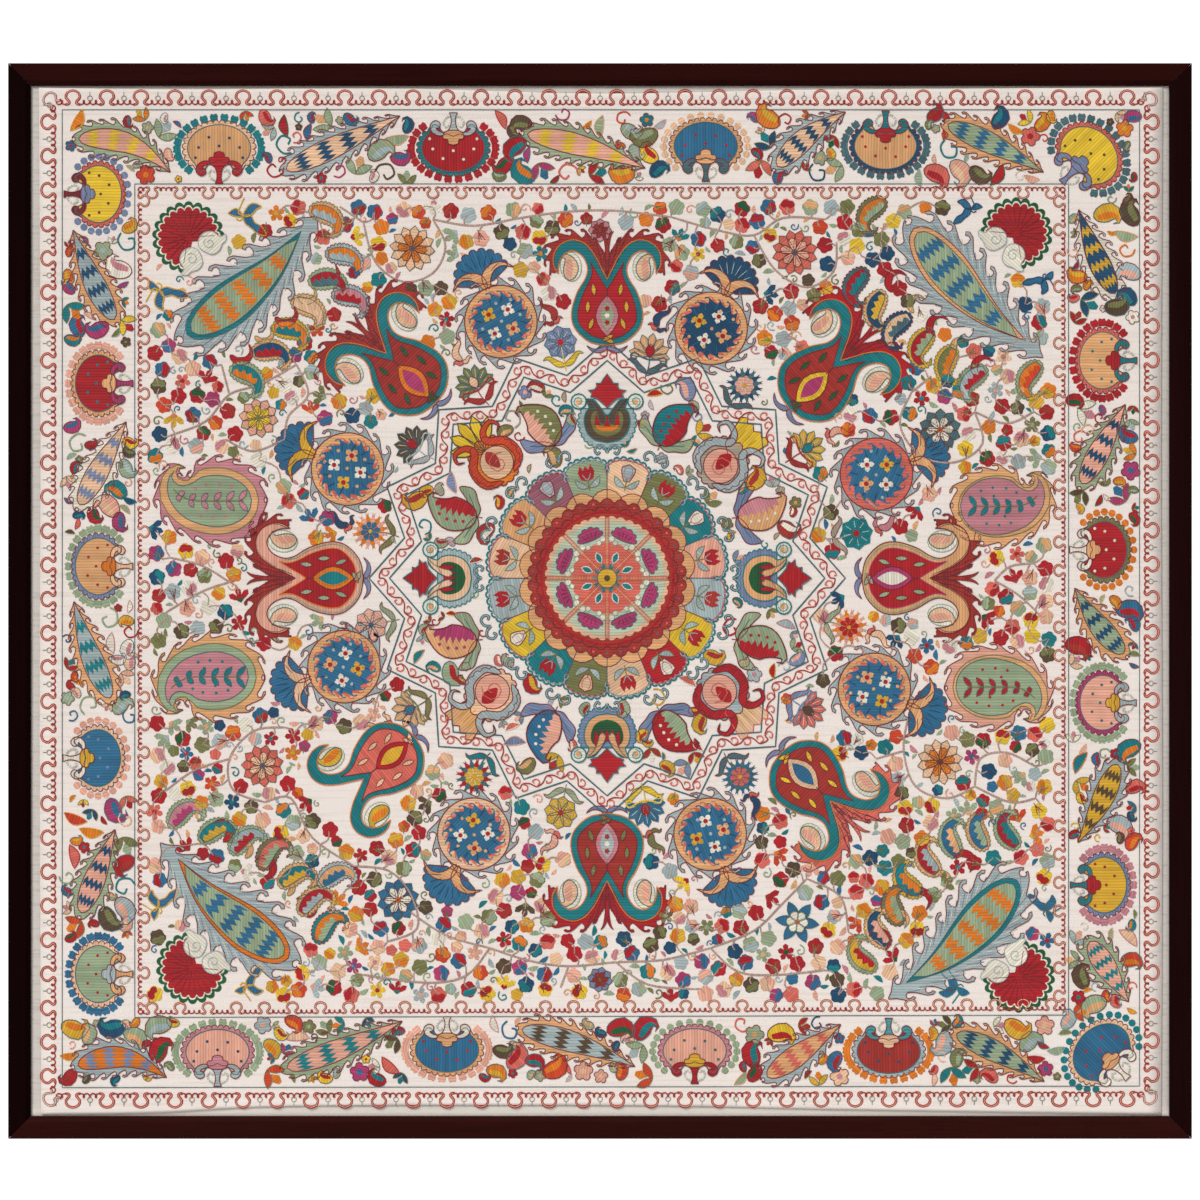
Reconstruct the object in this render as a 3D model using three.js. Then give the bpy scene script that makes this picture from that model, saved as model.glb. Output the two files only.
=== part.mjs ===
// A large silk embroidery on white cotton, framed for the wall.
//
// Four mitred rails of dark stained hardwood make the frame. In their rebate sits a mount board,
// covered in plain cotton, whose front edges are padded and fall away under the rails' lip.
// The embroidered cloth, with its turned hem, is sewn flat on that board. Its edges wander, so a
// margin of the mount shows all round, wider in the middle of the top and the bottom.
//
// Millimetres, +Z up. The front looks along -Y, and the wall is the plane y = 0. The origin is
// the middle of the top rail's back face, where the frame hangs on the wall.

import * as THREE from 'three';
import { mergeVertices } from 'three/addons/utils/BufferGeometryUtils.js';

// Driving dimensions
const FRAME_WIDTH = 1500;
const FRAME_HEIGHT = 1363;
const RAIL_FACE = 28; // width of a rail, seen from the front
const RAIL_DEPTH = 32; // from the wall to the rail's front
const CLOTH_THICKNESS = 1.6;
const SEAT_GAP = 0.3; // between parts that touch

// The rail's section: a flat face, a chamfer towards the cloth, and a rebate behind the lip
const REBATE_WIDTH = 8;
const LIP_BACK = 24; // depth of the lip's back face, from the wall
const LIP_FRONT = 28;
const CHAMFER_WIDTH = 6;
const EDGE_ROUND = 1.6;

// The mount board, a slab with padded front edges
const BOARD_BACK = 12; // depth of its back face, from the wall
const BOARD_FRONT = 25.5; // depth of its front face, from the wall
const PAD_WIDTH = 17.5; // how far in from its edge the padding falls away
const PAD_DROP = 10;
const PAD_STEPS = 9;

// How far the cloth's edges lie inside the frame's opening, from one end of each side (at -1) to
// the other (at 1): left to right on the top and bottom, bottom to top on the left and right
const TOP_MARGIN = [
  { at: -1, inset: 2.5 },
  { at: -0.75, inset: 4.5 },
  { at: -0.35, inset: 3.8 },
  { at: 0, inset: 10 },
  { at: 0.4, inset: 5 },
  { at: 1, inset: 2.2 },
];
const BOTTOM_MARGIN = [
  { at: -1, inset: 2.5 },
  { at: -0.8, inset: 4.5 },
  { at: -0.55, inset: 13 },
  { at: 0.05, inset: 14 },
  { at: 0.45, inset: 8.5 },
  { at: 1, inset: 2.5 },
];
const LEFT_MARGIN = [
  { at: -1, inset: 13.5 },
  { at: -0.3, inset: 11.5 },
  { at: 0.4, inset: 12.5 },
  { at: 1, inset: 10.5 },
];
const RIGHT_MARGIN = [
  { at: -1, inset: 10.5 },
  { at: -0.4, inset: 9 },
  { at: 0.3, inset: 10.5 },
  { at: 1, inset: 8.5 },
];

// Soft ridges where the stitching has drawn the cloth up: the middle of each, its direction, its
// length and width, and how far it stands off the board
const RIDGES = [
  { x: -330, z: 470, turn: 8, long: 420, wide: 90, high: 0.9 },
  { x: 260, z: 520, turn: -6, long: 520, wide: 80, high: 1.0 },
  { x: -560, z: 120, turn: 84, long: 460, wide: 90, high: 0.9 },
  { x: 585, z: -60, turn: 95, long: 560, wide: 85, high: 1.0 },
  { x: -420, z: -330, turn: -18, long: 380, wide: 100, high: 0.8 },
  { x: 380, z: -300, turn: 22, long: 400, wide: 95, high: 0.9 },
  { x: 20, z: -540, turn: 2, long: 620, wide: 80, high: 1.1 },
  { x: -90, z: 230, turn: -40, long: 300, wide: 110, high: 0.7 },
  { x: 150, z: -60, turn: 60, long: 320, wide: 120, high: 0.8 },
  { x: 430, z: 230, turn: 35, long: 360, wide: 100, high: 0.8 },
];

// Worked out from those
const OPENING_WIDTH = FRAME_WIDTH - 2 * RAIL_FACE;
const OPENING_HEIGHT = FRAME_HEIGHT - 2 * RAIL_FACE;
const BOARD_WIDTH = OPENING_WIDTH + 2 * (REBATE_WIDTH - SEAT_GAP);
const BOARD_HEIGHT = OPENING_HEIGHT + 2 * (REBATE_WIDTH - SEAT_GAP);
const CENTRE_HEIGHT = RAIL_FACE / 2 - FRAME_HEIGHT / 2;

const darkWood = new THREE.MeshStandardMaterial({ color: '#2a0f0e', roughness: 0.42 });
const mountCotton = new THREE.MeshStandardMaterial({ color: '#e4ded6', roughness: 0.92 });
const groundCotton = new THREE.MeshStandardMaterial({ color: '#ece9e4', roughness: 0.9 });

// One rail of the given length, lying along its own z from 0, with x going in towards the cloth
// and y going out from the wall. Its ends are mitred, and stop a little short of its neighbours.
function railGeometry(length) {
  const section = new THREE.Shape();
  section.moveTo(0, 0);
  section.lineTo(RAIL_FACE - REBATE_WIDTH, 0);
  section.lineTo(RAIL_FACE - REBATE_WIDTH, LIP_BACK);
  section.lineTo(RAIL_FACE, LIP_BACK);
  section.lineTo(RAIL_FACE, LIP_FRONT - EDGE_ROUND / 2);
  section.quadraticCurveTo(RAIL_FACE, LIP_FRONT, RAIL_FACE - EDGE_ROUND / 2, LIP_FRONT + EDGE_ROUND / 2);
  section.lineTo(RAIL_FACE - CHAMFER_WIDTH, RAIL_DEPTH);
  section.lineTo(EDGE_ROUND, RAIL_DEPTH);
  section.absarc(EDGE_ROUND, RAIL_DEPTH - EDGE_ROUND, EDGE_ROUND, Math.PI / 2, Math.PI, false);
  section.closePath();

  const geometry = new THREE.ExtrudeGeometry(section, {
    depth: length,
    steps: 1,
    bevelEnabled: false,
    curveSegments: 5,
  });
  const endGap = SEAT_GAP / Math.SQRT2;
  const position = geometry.attributes.position;
  for (let i = 0; i < position.count; i += 1) {
    const mitre = position.getX(i) + endGap;
    position.setZ(i, position.getZ(i) < length / 2 ? mitre : length - mitre);
  }
  return geometry;
}

// A rail in its place: turned by so many degrees about the frame's centre from the bottom side
function railInPlace(name, length, across, degrees) {
  const rail = new THREE.Mesh(railGeometry(length), darkWood);
  rail.name = name;
  const alongRail = new THREE.Vector3(1, 0, 0);
  const outFromWall = new THREE.Vector3(0, -1, 0);
  const inwards = new THREE.Vector3(0, 0, 1);
  rail.quaternion.setFromRotationMatrix(
    new THREE.Matrix4().makeBasis(inwards, outFromWall, alongRail),
  );
  rail.position.set(-length / 2, 0, -across / 2);
  const side = new THREE.Group();
  side.rotation.y = THREE.MathUtils.degToRad(degrees);
  side.add(rail);
  return side;
}

// How far out from the wall the board's front lies, so far in from the board's nearest edge
function boardDepth(fromEdge) {
  const past = Math.max(0, PAD_WIDTH - Math.max(0, fromEdge)) / PAD_WIDTH;
  return BOARD_FRONT - PAD_DROP * (1 - Math.sqrt(1 - past * past));
}

// A closed solid through a row of rectangles, each given by how far it is drawn in and its depth
function stackedRectangles(width, height, sections) {
  const corners = [[-1, -1], [1, -1], [1, 1], [-1, 1]];
  const points = [];
  const faces = [];
  sections.forEach(({ inset, depth }, row) => {
    corners.forEach(([x, z], corner) => {
      points.push(x * (width / 2 - inset), -depth, z * (height / 2 - inset));
      if (row > 0) {
        const here = row * 4 + corner;
        const next = row * 4 + ((corner + 1) % 4);
        faces.push(here - 4, next - 4, next, here - 4, next, here);
      }
    });
  });
  const last = (sections.length - 1) * 4;
  faces.push(0, 3, 2, 0, 2, 1);
  faces.push(last, last + 1, last + 2, last, last + 2, last + 3);
  const geometry = new THREE.BufferGeometry();
  geometry.setAttribute('position', new THREE.Float32BufferAttribute(points, 3));
  geometry.setIndex(faces);
  return geometry;
}

function boardGeometry() {
  const sections = [{ inset: 0, depth: BOARD_BACK }];
  for (let step = 0; step <= PAD_STEPS; step += 1) {
    const inset = PAD_WIDTH * (1 - Math.cos((step / PAD_STEPS) * (Math.PI / 2)));
    sections.push({ inset, depth: boardDepth(inset) });
  }
  return stackedRectangles(BOARD_WIDTH, BOARD_HEIGHT, sections);
}

// A smooth curve through one side's margins
function marginCurve(rows) {
  const curve = new THREE.SplineCurve(rows.map((row) => new THREE.Vector2(row.at, row.inset)));
  const samples = curve.getPoints(200);
  return (at) => {
    const after = Math.max(1, samples.findIndex((sample) => sample.x >= at));
    const a = samples[after - 1];
    const b = samples[after];
    return THREE.MathUtils.mapLinear(at, a.x, b.x, a.y, b.y);
  };
}

const topMargin = marginCurve(TOP_MARGIN);
const bottomMargin = marginCurve(BOTTOM_MARGIN);
const leftMargin = marginCurve(LEFT_MARGIN);
const rightMargin = marginCurve(RIGHT_MARGIN);

// Where a point of the cloth lies across the frame, for s and t from -1 to 1 over the cloth
function clothPlace(s, t) {
  const left = -OPENING_WIDTH / 2 + leftMargin(t);
  const right = OPENING_WIDTH / 2 - rightMargin(t);
  const low = -OPENING_HEIGHT / 2 + bottomMargin(s);
  const high = OPENING_HEIGHT / 2 - topMargin(s);
  return {
    x: THREE.MathUtils.mapLinear(s, -1, 1, left, right),
    z: THREE.MathUtils.mapLinear(t, -1, 1, low, high),
  };
}

// How far the ridges lift the cloth off the board at a place
function ridgeHeight(x, z) {
  return RIDGES.reduce((sum, ridge) => {
    const turn = THREE.MathUtils.degToRad(ridge.turn);
    const along = (x - ridge.x) * Math.cos(turn) + (z - ridge.z) * Math.sin(turn);
    const aside = (z - ridge.z) * Math.cos(turn) - (x - ridge.x) * Math.sin(turn);
    const fall = (2 * along / ridge.long) ** 2 + (2 * aside / ridge.wide) ** 2;
    return sum + ridge.high * Math.exp(-fall);
  }, 0);
}

// The grid's lines over one side, closer together where the board's padding falls away
const CELLS = 34;
const EDGE_STOPS = [0, 0.002, 0.0045, 0.0075, 0.014];
function gridLine(index) {
  const fromEnd = Math.min(index, CELLS - index);
  const share = fromEnd < EDGE_STOPS.length
    ? EDGE_STOPS[fromEnd]
    : THREE.MathUtils.mapLinear(fromEnd, EDGE_STOPS.length - 1, CELLS / 2, EDGE_STOPS.at(-1), 0.5);
  return index <= CELLS / 2 ? 2 * share - 1 : 1 - 2 * share;
}

// The cloth: a thin slab of cells, laid over the board and lifted by the ridges
function clothGeometry() {
  const slab = new THREE.BoxGeometry(2, 2, 2, CELLS, 1, CELLS);
  slab.deleteAttribute('normal');
  slab.deleteAttribute('uv');
  const geometry = mergeVertices(slab);
  const position = geometry.attributes.position;
  for (let i = 0; i < position.count; i += 1) {
    const column = Math.round(((position.getX(i) + 1) / 2) * CELLS);
    const row = Math.round(((position.getZ(i) + 1) / 2) * CELLS);
    const { x, z } = clothPlace(gridLine(column), gridLine(row));
    const fromEdge = Math.min(BOARD_WIDTH / 2 - Math.abs(x), BOARD_HEIGHT / 2 - Math.abs(z));
    const back = boardDepth(fromEdge) + SEAT_GAP + ridgeHeight(x, z);
    const depth = position.getY(i) < 0 ? back + CLOTH_THICKNESS : back;
    position.setXYZ(i, x, -depth, z);
  }
  return geometry;
}

const framedEmbroidery = new THREE.Group();
framedEmbroidery.position.z = CENTRE_HEIGHT;

framedEmbroidery.add(railInPlace('rail_bottom', FRAME_WIDTH, FRAME_HEIGHT, 0));
framedEmbroidery.add(railInPlace('rail_left', FRAME_HEIGHT, FRAME_WIDTH, 90));
framedEmbroidery.add(railInPlace('rail_top', FRAME_WIDTH, FRAME_HEIGHT, 180));
framedEmbroidery.add(railInPlace('rail_right', FRAME_HEIGHT, FRAME_WIDTH, 270));

const mountBoard = new THREE.Mesh(boardGeometry(), mountCotton);
mountBoard.name = 'mount_board';
framedEmbroidery.add(mountBoard);

const embroideredCloth = new THREE.Mesh(clothGeometry(), groundCotton);
embroideredCloth.name = 'embroidered_cloth';
framedEmbroidery.add(embroideredCloth);

export default framedEmbroidery;
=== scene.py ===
"""A large silk embroidery of the suzani kind on white cotton, mounted in a dark wooden frame."""

import cmath
import math
import random

import bpy
import numpy as np
from bpy.props import FloatProperty, FloatVectorProperty, PointerProperty
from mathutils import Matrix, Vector, noise
from mathutils.geometry import delaunay_2d_cdt, tessellate_polygon


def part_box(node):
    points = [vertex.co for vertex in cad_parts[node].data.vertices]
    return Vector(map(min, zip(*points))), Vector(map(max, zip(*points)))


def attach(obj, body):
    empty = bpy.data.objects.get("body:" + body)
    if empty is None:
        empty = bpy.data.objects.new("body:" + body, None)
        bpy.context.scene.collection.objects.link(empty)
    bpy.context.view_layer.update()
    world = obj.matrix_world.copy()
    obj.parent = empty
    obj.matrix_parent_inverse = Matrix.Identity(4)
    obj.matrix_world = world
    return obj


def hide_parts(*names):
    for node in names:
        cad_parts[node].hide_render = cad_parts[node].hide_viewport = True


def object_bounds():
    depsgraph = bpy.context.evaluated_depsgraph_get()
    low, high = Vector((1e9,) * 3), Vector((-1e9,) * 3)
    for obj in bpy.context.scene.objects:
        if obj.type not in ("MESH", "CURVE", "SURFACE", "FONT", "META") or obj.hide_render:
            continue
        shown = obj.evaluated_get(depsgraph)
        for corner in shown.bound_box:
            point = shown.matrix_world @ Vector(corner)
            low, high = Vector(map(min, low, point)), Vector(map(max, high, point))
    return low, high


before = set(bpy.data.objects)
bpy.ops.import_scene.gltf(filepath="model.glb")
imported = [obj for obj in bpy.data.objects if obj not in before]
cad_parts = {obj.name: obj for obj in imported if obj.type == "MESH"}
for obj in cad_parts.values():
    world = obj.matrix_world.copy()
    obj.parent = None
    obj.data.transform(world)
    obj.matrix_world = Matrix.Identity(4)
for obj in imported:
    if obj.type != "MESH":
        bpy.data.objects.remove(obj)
cad_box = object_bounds()

bl_info = {
    "name": "Framed silk embroidery",
    "version": (1, 0, 0),
    "blender": (4, 5, 0),
    "location": "3D View > Sidebar > Embroidery",
    "description": "Dresses the framed cloth with its cotton, its silk motifs and its stained rails",
    "category": "Object",
}

MM = 0.001

# The frame's own places, from its solids: all patterns are drawn in millimetres from its middle
FRAME_LOW, FRAME_HIGH = (Vector(corner) for corner in cad_box)
FRAME_MIDDLE = (FRAME_LOW + FRAME_HIGH) / 2
BOARD_LOW, BOARD_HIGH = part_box("mount_board")
BOARD_HALF_WIDTH = (BOARD_HIGH.x - BOARD_LOW.x) / 2 / MM
BOARD_HALF_HEIGHT = (BOARD_HIGH.z - BOARD_LOW.z) / 2 / MM
BOARD_FRONT = -BOARD_LOW.y / MM
LIP = 7.7  # how far the board reaches under the rails
OPENING_HALF_WIDTH = BOARD_HALF_WIDTH - LIP
OPENING_HALF_HEIGHT = BOARD_HALF_HEIGHT - LIP

# The padding, the cloth and its ridges, as the solids have them
PAD_WIDTH = 17.5
PAD_DROP = 10
CLOTH_THICKNESS = 1.6
SEAT_GAP = 0.3
TOP_MARGIN = ((-1, 2.5), (-0.75, 4.5), (-0.35, 3.8), (0, 10), (0.4, 5), (1, 2.2))
BOTTOM_MARGIN = ((-1, 2.5), (-0.8, 4.5), (-0.55, 13), (0.05, 14), (0.45, 8.5), (1, 2.5))
LEFT_MARGIN = ((-1, 13.5), (-0.3, 11.5), (0.4, 12.5), (1, 10.5))
RIGHT_MARGIN = ((-1, 10.5), (-0.4, 9), (0.3, 10.5), (1, 8.5))
RIDGES = (  # x, z, turn in degrees, length, width and height
    (-330, 470, 8, 420, 90, 0.9),
    (260, 520, -6, 520, 80, 1.0),
    (-560, 120, 84, 460, 90, 0.9),
    (585, -60, 95, 560, 85, 1.0),
    (-420, -330, -18, 380, 100, 0.8),
    (380, -300, 22, 400, 95, 0.9),
    (20, -540, 2, 620, 80, 1.1),
    (-90, 230, -40, 300, 110, 0.7),
    (150, -60, 60, 320, 120, 0.8),
    (430, 230, 35, 360, 100, 0.8),
)

# The embroidery's relief
FILL_HEIGHT = 0.5
BEVEL = 0.35
CROWN = 0.62  # the flat top of a line, as a share of its width
HAIR = 0.004  # by which one patch differs from the next, so that none lies level with another
LEVEL_STEP = 0.2  # how much higher each layer of stitching lies
LINE_HEIGHT = 0.3  # of a line above the fill that it lies on
STITCH_DEPTH = 0.3  # how far the stitches sink into the cloth
LONGEST_EDGE = 9
MOST_FACES = 200_000
POINT_SPACING = 14  # between the points inside a wide fill, close enough to follow the ridges
HEM_HEIGHT = 0.35
CREASE_SIZE = (38, 5.5)  # of the cloth's fine creases, across and up

# What the photograph takes in, in metres, and how far its middle lies above the frame's, in mm
VIEW_WIDTH = 1.52027
VIEW_CENTRE = 1.27


def to_linear(hex_colour):
    """An sRGB hex colour as linear red, green and blue"""
    values = (int(hex_colour[i:i + 2], 16) / 255 for i in (1, 3, 5))
    return tuple(v / 12.92 if v <= 0.04045 else ((v + 0.055) / 1.055) ** 2.4 for v in values)


def polar(radius, degrees):
    return cmath.rect(radius, math.radians(degrees))


def bearing(way):
    """The angle of a direction, in degrees"""
    return math.degrees(cmath.phase(way))


def curve(points, closed=False, steps=5):
    """A smooth line through a few points, with so many steps between them"""
    p = np.array(points, complex)
    p = np.concatenate([p[-1:], p, p[:2]] if closed else [p[:1], p, p[-1:]])
    t = np.arange(steps)[:, None] / steps
    a, b, c, d = p[:-3], p[1:-2], p[2:-1], p[3:]
    smooth = 0.5 * (2 * b + (c - a) * t + (2 * a - 5 * b + 4 * c - d) * t ** 2
                    + (3 * b - a - 3 * c + d) * t ** 3)
    smooth = smooth.T.ravel()
    return smooth if closed else np.append(smooth, p[-2])


def side_curve(rows):
    """How far a side's margin is drawn in, from -1 to 1 along it"""
    samples = curve([complex(*row) for row in rows], steps=30)
    return lambda at: np.interp(at, samples.real, samples.imag)


top_margin, bottom_margin = side_curve(TOP_MARGIN), side_curve(BOTTOM_MARGIN)
left_margin, right_margin = side_curve(LEFT_MARGIN), side_curve(RIGHT_MARGIN)


def cloth_place(s, t):
    """Where a point of the cloth lies across the frame, for s and t from -1 to 1"""
    left = left_margin(t) - OPENING_HALF_WIDTH
    right = OPENING_HALF_WIDTH - right_margin(t)
    low = bottom_margin(s) - OPENING_HALF_HEIGHT
    high = OPENING_HALF_HEIGHT - top_margin(s)
    return left + (right - left) * (s + 1) / 2, low + (high - low) * (t + 1) / 2


def cloth_depth(x, z):
    """How far out from the wall the cloth's front lies"""
    from_edge = np.minimum(BOARD_HALF_WIDTH - np.abs(x), BOARD_HALF_HEIGHT - np.abs(z))
    past = np.clip(PAD_WIDTH - from_edge, 0, PAD_WIDTH) / PAD_WIDTH
    depth = BOARD_FRONT - PAD_DROP * (1 - np.sqrt(1 - past ** 2)) + SEAT_GAP + CLOTH_THICKNESS
    for ridge_x, ridge_z, turn, length, width, height in RIDGES:
        away = ((x - ridge_x) + 1j * (z - ridge_z)) * polar(1, -turn)
        depth = depth + height * np.exp(-(2 * away.real / length) ** 2 - (2 * away.imag / width) ** 2)
    return depth


def in_space(flat, height):
    """Points of the pattern, in metres in the frame's own space, so high above the cloth"""
    x, z = flat.real, flat.imag
    depth = cloth_depth(x, z) + height
    return np.stack([x * MM, -depth * MM, z * MM + FRAME_MIDDLE.z], axis=1)


class Spot:
    """Where a motif goes: its middle, its turn in degrees, its size, and whether it is mirrored"""

    def __init__(self, at=0, turn=0, size=1, flip=False):
        self.at, self.turn, self.size, self.flip = complex(at), turn, size, flip

    def __call__(self, points):
        points = np.asarray(points, complex)
        if self.flip:
            points = -points.conj()
        return self.at + self.size * points * polar(1, self.turn)

    def inner(self, at=0, turn=0, size=1, flip=False):
        """A spot within this one"""
        turned = self.turn - turn if self.flip else self.turn + turn
        return Spot(self(at), turned, self.size * size, self.flip != flip)


def on_ring(middle, radius, degrees, size=1, turn=0):
    """A spot on a ring, with its own top facing outwards"""
    return Spot(middle + polar(radius, degrees), degrees - 90 + turn, size)


def refined(points, closed):
    """The same line, with no step longer than LONGEST_EDGE"""
    ends = np.append(points, points[0]) if closed else points
    gaps = np.abs(np.diff(ends))
    if not len(gaps) or gaps.max() <= LONGEST_EDGE:
        return points
    parts = [
        a + (b - a) * np.arange(n) / n
        for a, b, n in zip(ends[:-1], ends[1:], np.ceil(gaps / LONGEST_EDGE).astype(int)) if n
    ]
    return np.concatenate(parts if closed else parts + [ends[-1:]])


def without_doubles(points, closed):
    """The same line, without points that lie on the one before"""
    before = np.roll(points, 1)
    keep = np.abs(points - before) > 0.12
    if not closed:
        keep[0] = True
    return points[keep]


def directions(points, closed):
    """The way a line runs at each of its points"""
    if closed:
        runs = np.roll(points, -1) - np.roll(points, 1)
    else:
        runs = np.gradient(points)
    return runs / np.maximum(np.abs(runs), 1e-9)


def shares(path):
    """How far along a line each of its points is, from 0 to 1, and the line's length"""
    lengths = np.concatenate([[0], np.cumsum(np.abs(np.diff(path)))])
    return lengths / lengths[-1], lengths[-1]


def offset(points, distance):
    """A closed outline, anticlockwise, moved outwards"""
    ahead = np.roll(points, -1) - points
    ahead = ahead / np.maximum(np.abs(ahead), 1e-9)
    behind = np.roll(ahead, 1)
    normal = -1j * (ahead + behind)
    normal = normal / np.maximum(np.abs(normal), 1e-9)
    lean = np.maximum((normal * (-1j * ahead).conj()).real, 0.45)
    return points + normal * distance / lean


def anticlockwise(points):
    area = (points.conj() * np.roll(points, -1)).imag.sum()
    return points if area > 0 else points[::-1]


def within(places, outline):
    """Which places lie inside an outline"""
    ends = np.roll(outline, -1)
    level = places.imag[:, None]
    crossed = (outline.imag > level) != (ends.imag > level)
    rise = np.where(ends.imag == outline.imag, 1e-9, ends.imag - outline.imag)
    cut = outline.real + (ends.real - outline.real) * (level - outline.imag) / rise
    return (crossed & (places.real[:, None] < cut)).sum(1) % 2 == 1


def triangles_within(points):
    """Points inside an outline, and the triangles that fill it"""
    n = len(points)
    low, high = points.real.min() + 1j * points.imag.min(), points.real.max() + 1j * points.imag.max()
    size = high - low
    if min(size.real, size.imag) > 1.5 * POINT_SPACING:
        columns = np.arange(low.real, high.real, POINT_SPACING)
        rows = np.arange(low.imag, high.imag, POINT_SPACING)
        grid = (columns[None, :] + 1j * rows[:, None] + POINT_SPACING / 2).ravel()
        away = np.abs(grid[:, None] - points[None, :]).min(1)
        grid = grid[within(grid, points) & (away > POINT_SPACING / 2)]
        every = np.concatenate([points, grid])
        edges = [(i, (i + 1) % n) for i in range(n)]
        found = delaunay_2d_cdt([Vector((p.real, p.imag)) for p in every], edges, [], 0, 1e-4, True)
        if len(found[0]) == len(every) and all(len(ids) == 1 for ids in found[3]):
            back = [ids[0] for ids in found[3]]
            faces = np.array([[back[i] for i in face] for face in found[2]], int)
            return grid, faces[within(every[faces].mean(1), points)]
    flat = [Vector((p.real, p.imag, 0)) for p in points]
    faces = np.array(tessellate_polygon([flat]), int).reshape(-1, 3)
    a, b, c = points[faces[:, 0]], points[faces[:, 1]], points[faces[:, 2]]
    clockwise = ((b - a).conj() * (c - a)).imag < 0
    faces[clockwise] = faces[clockwise][:, ::-1]
    return points[:0], faces


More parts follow.
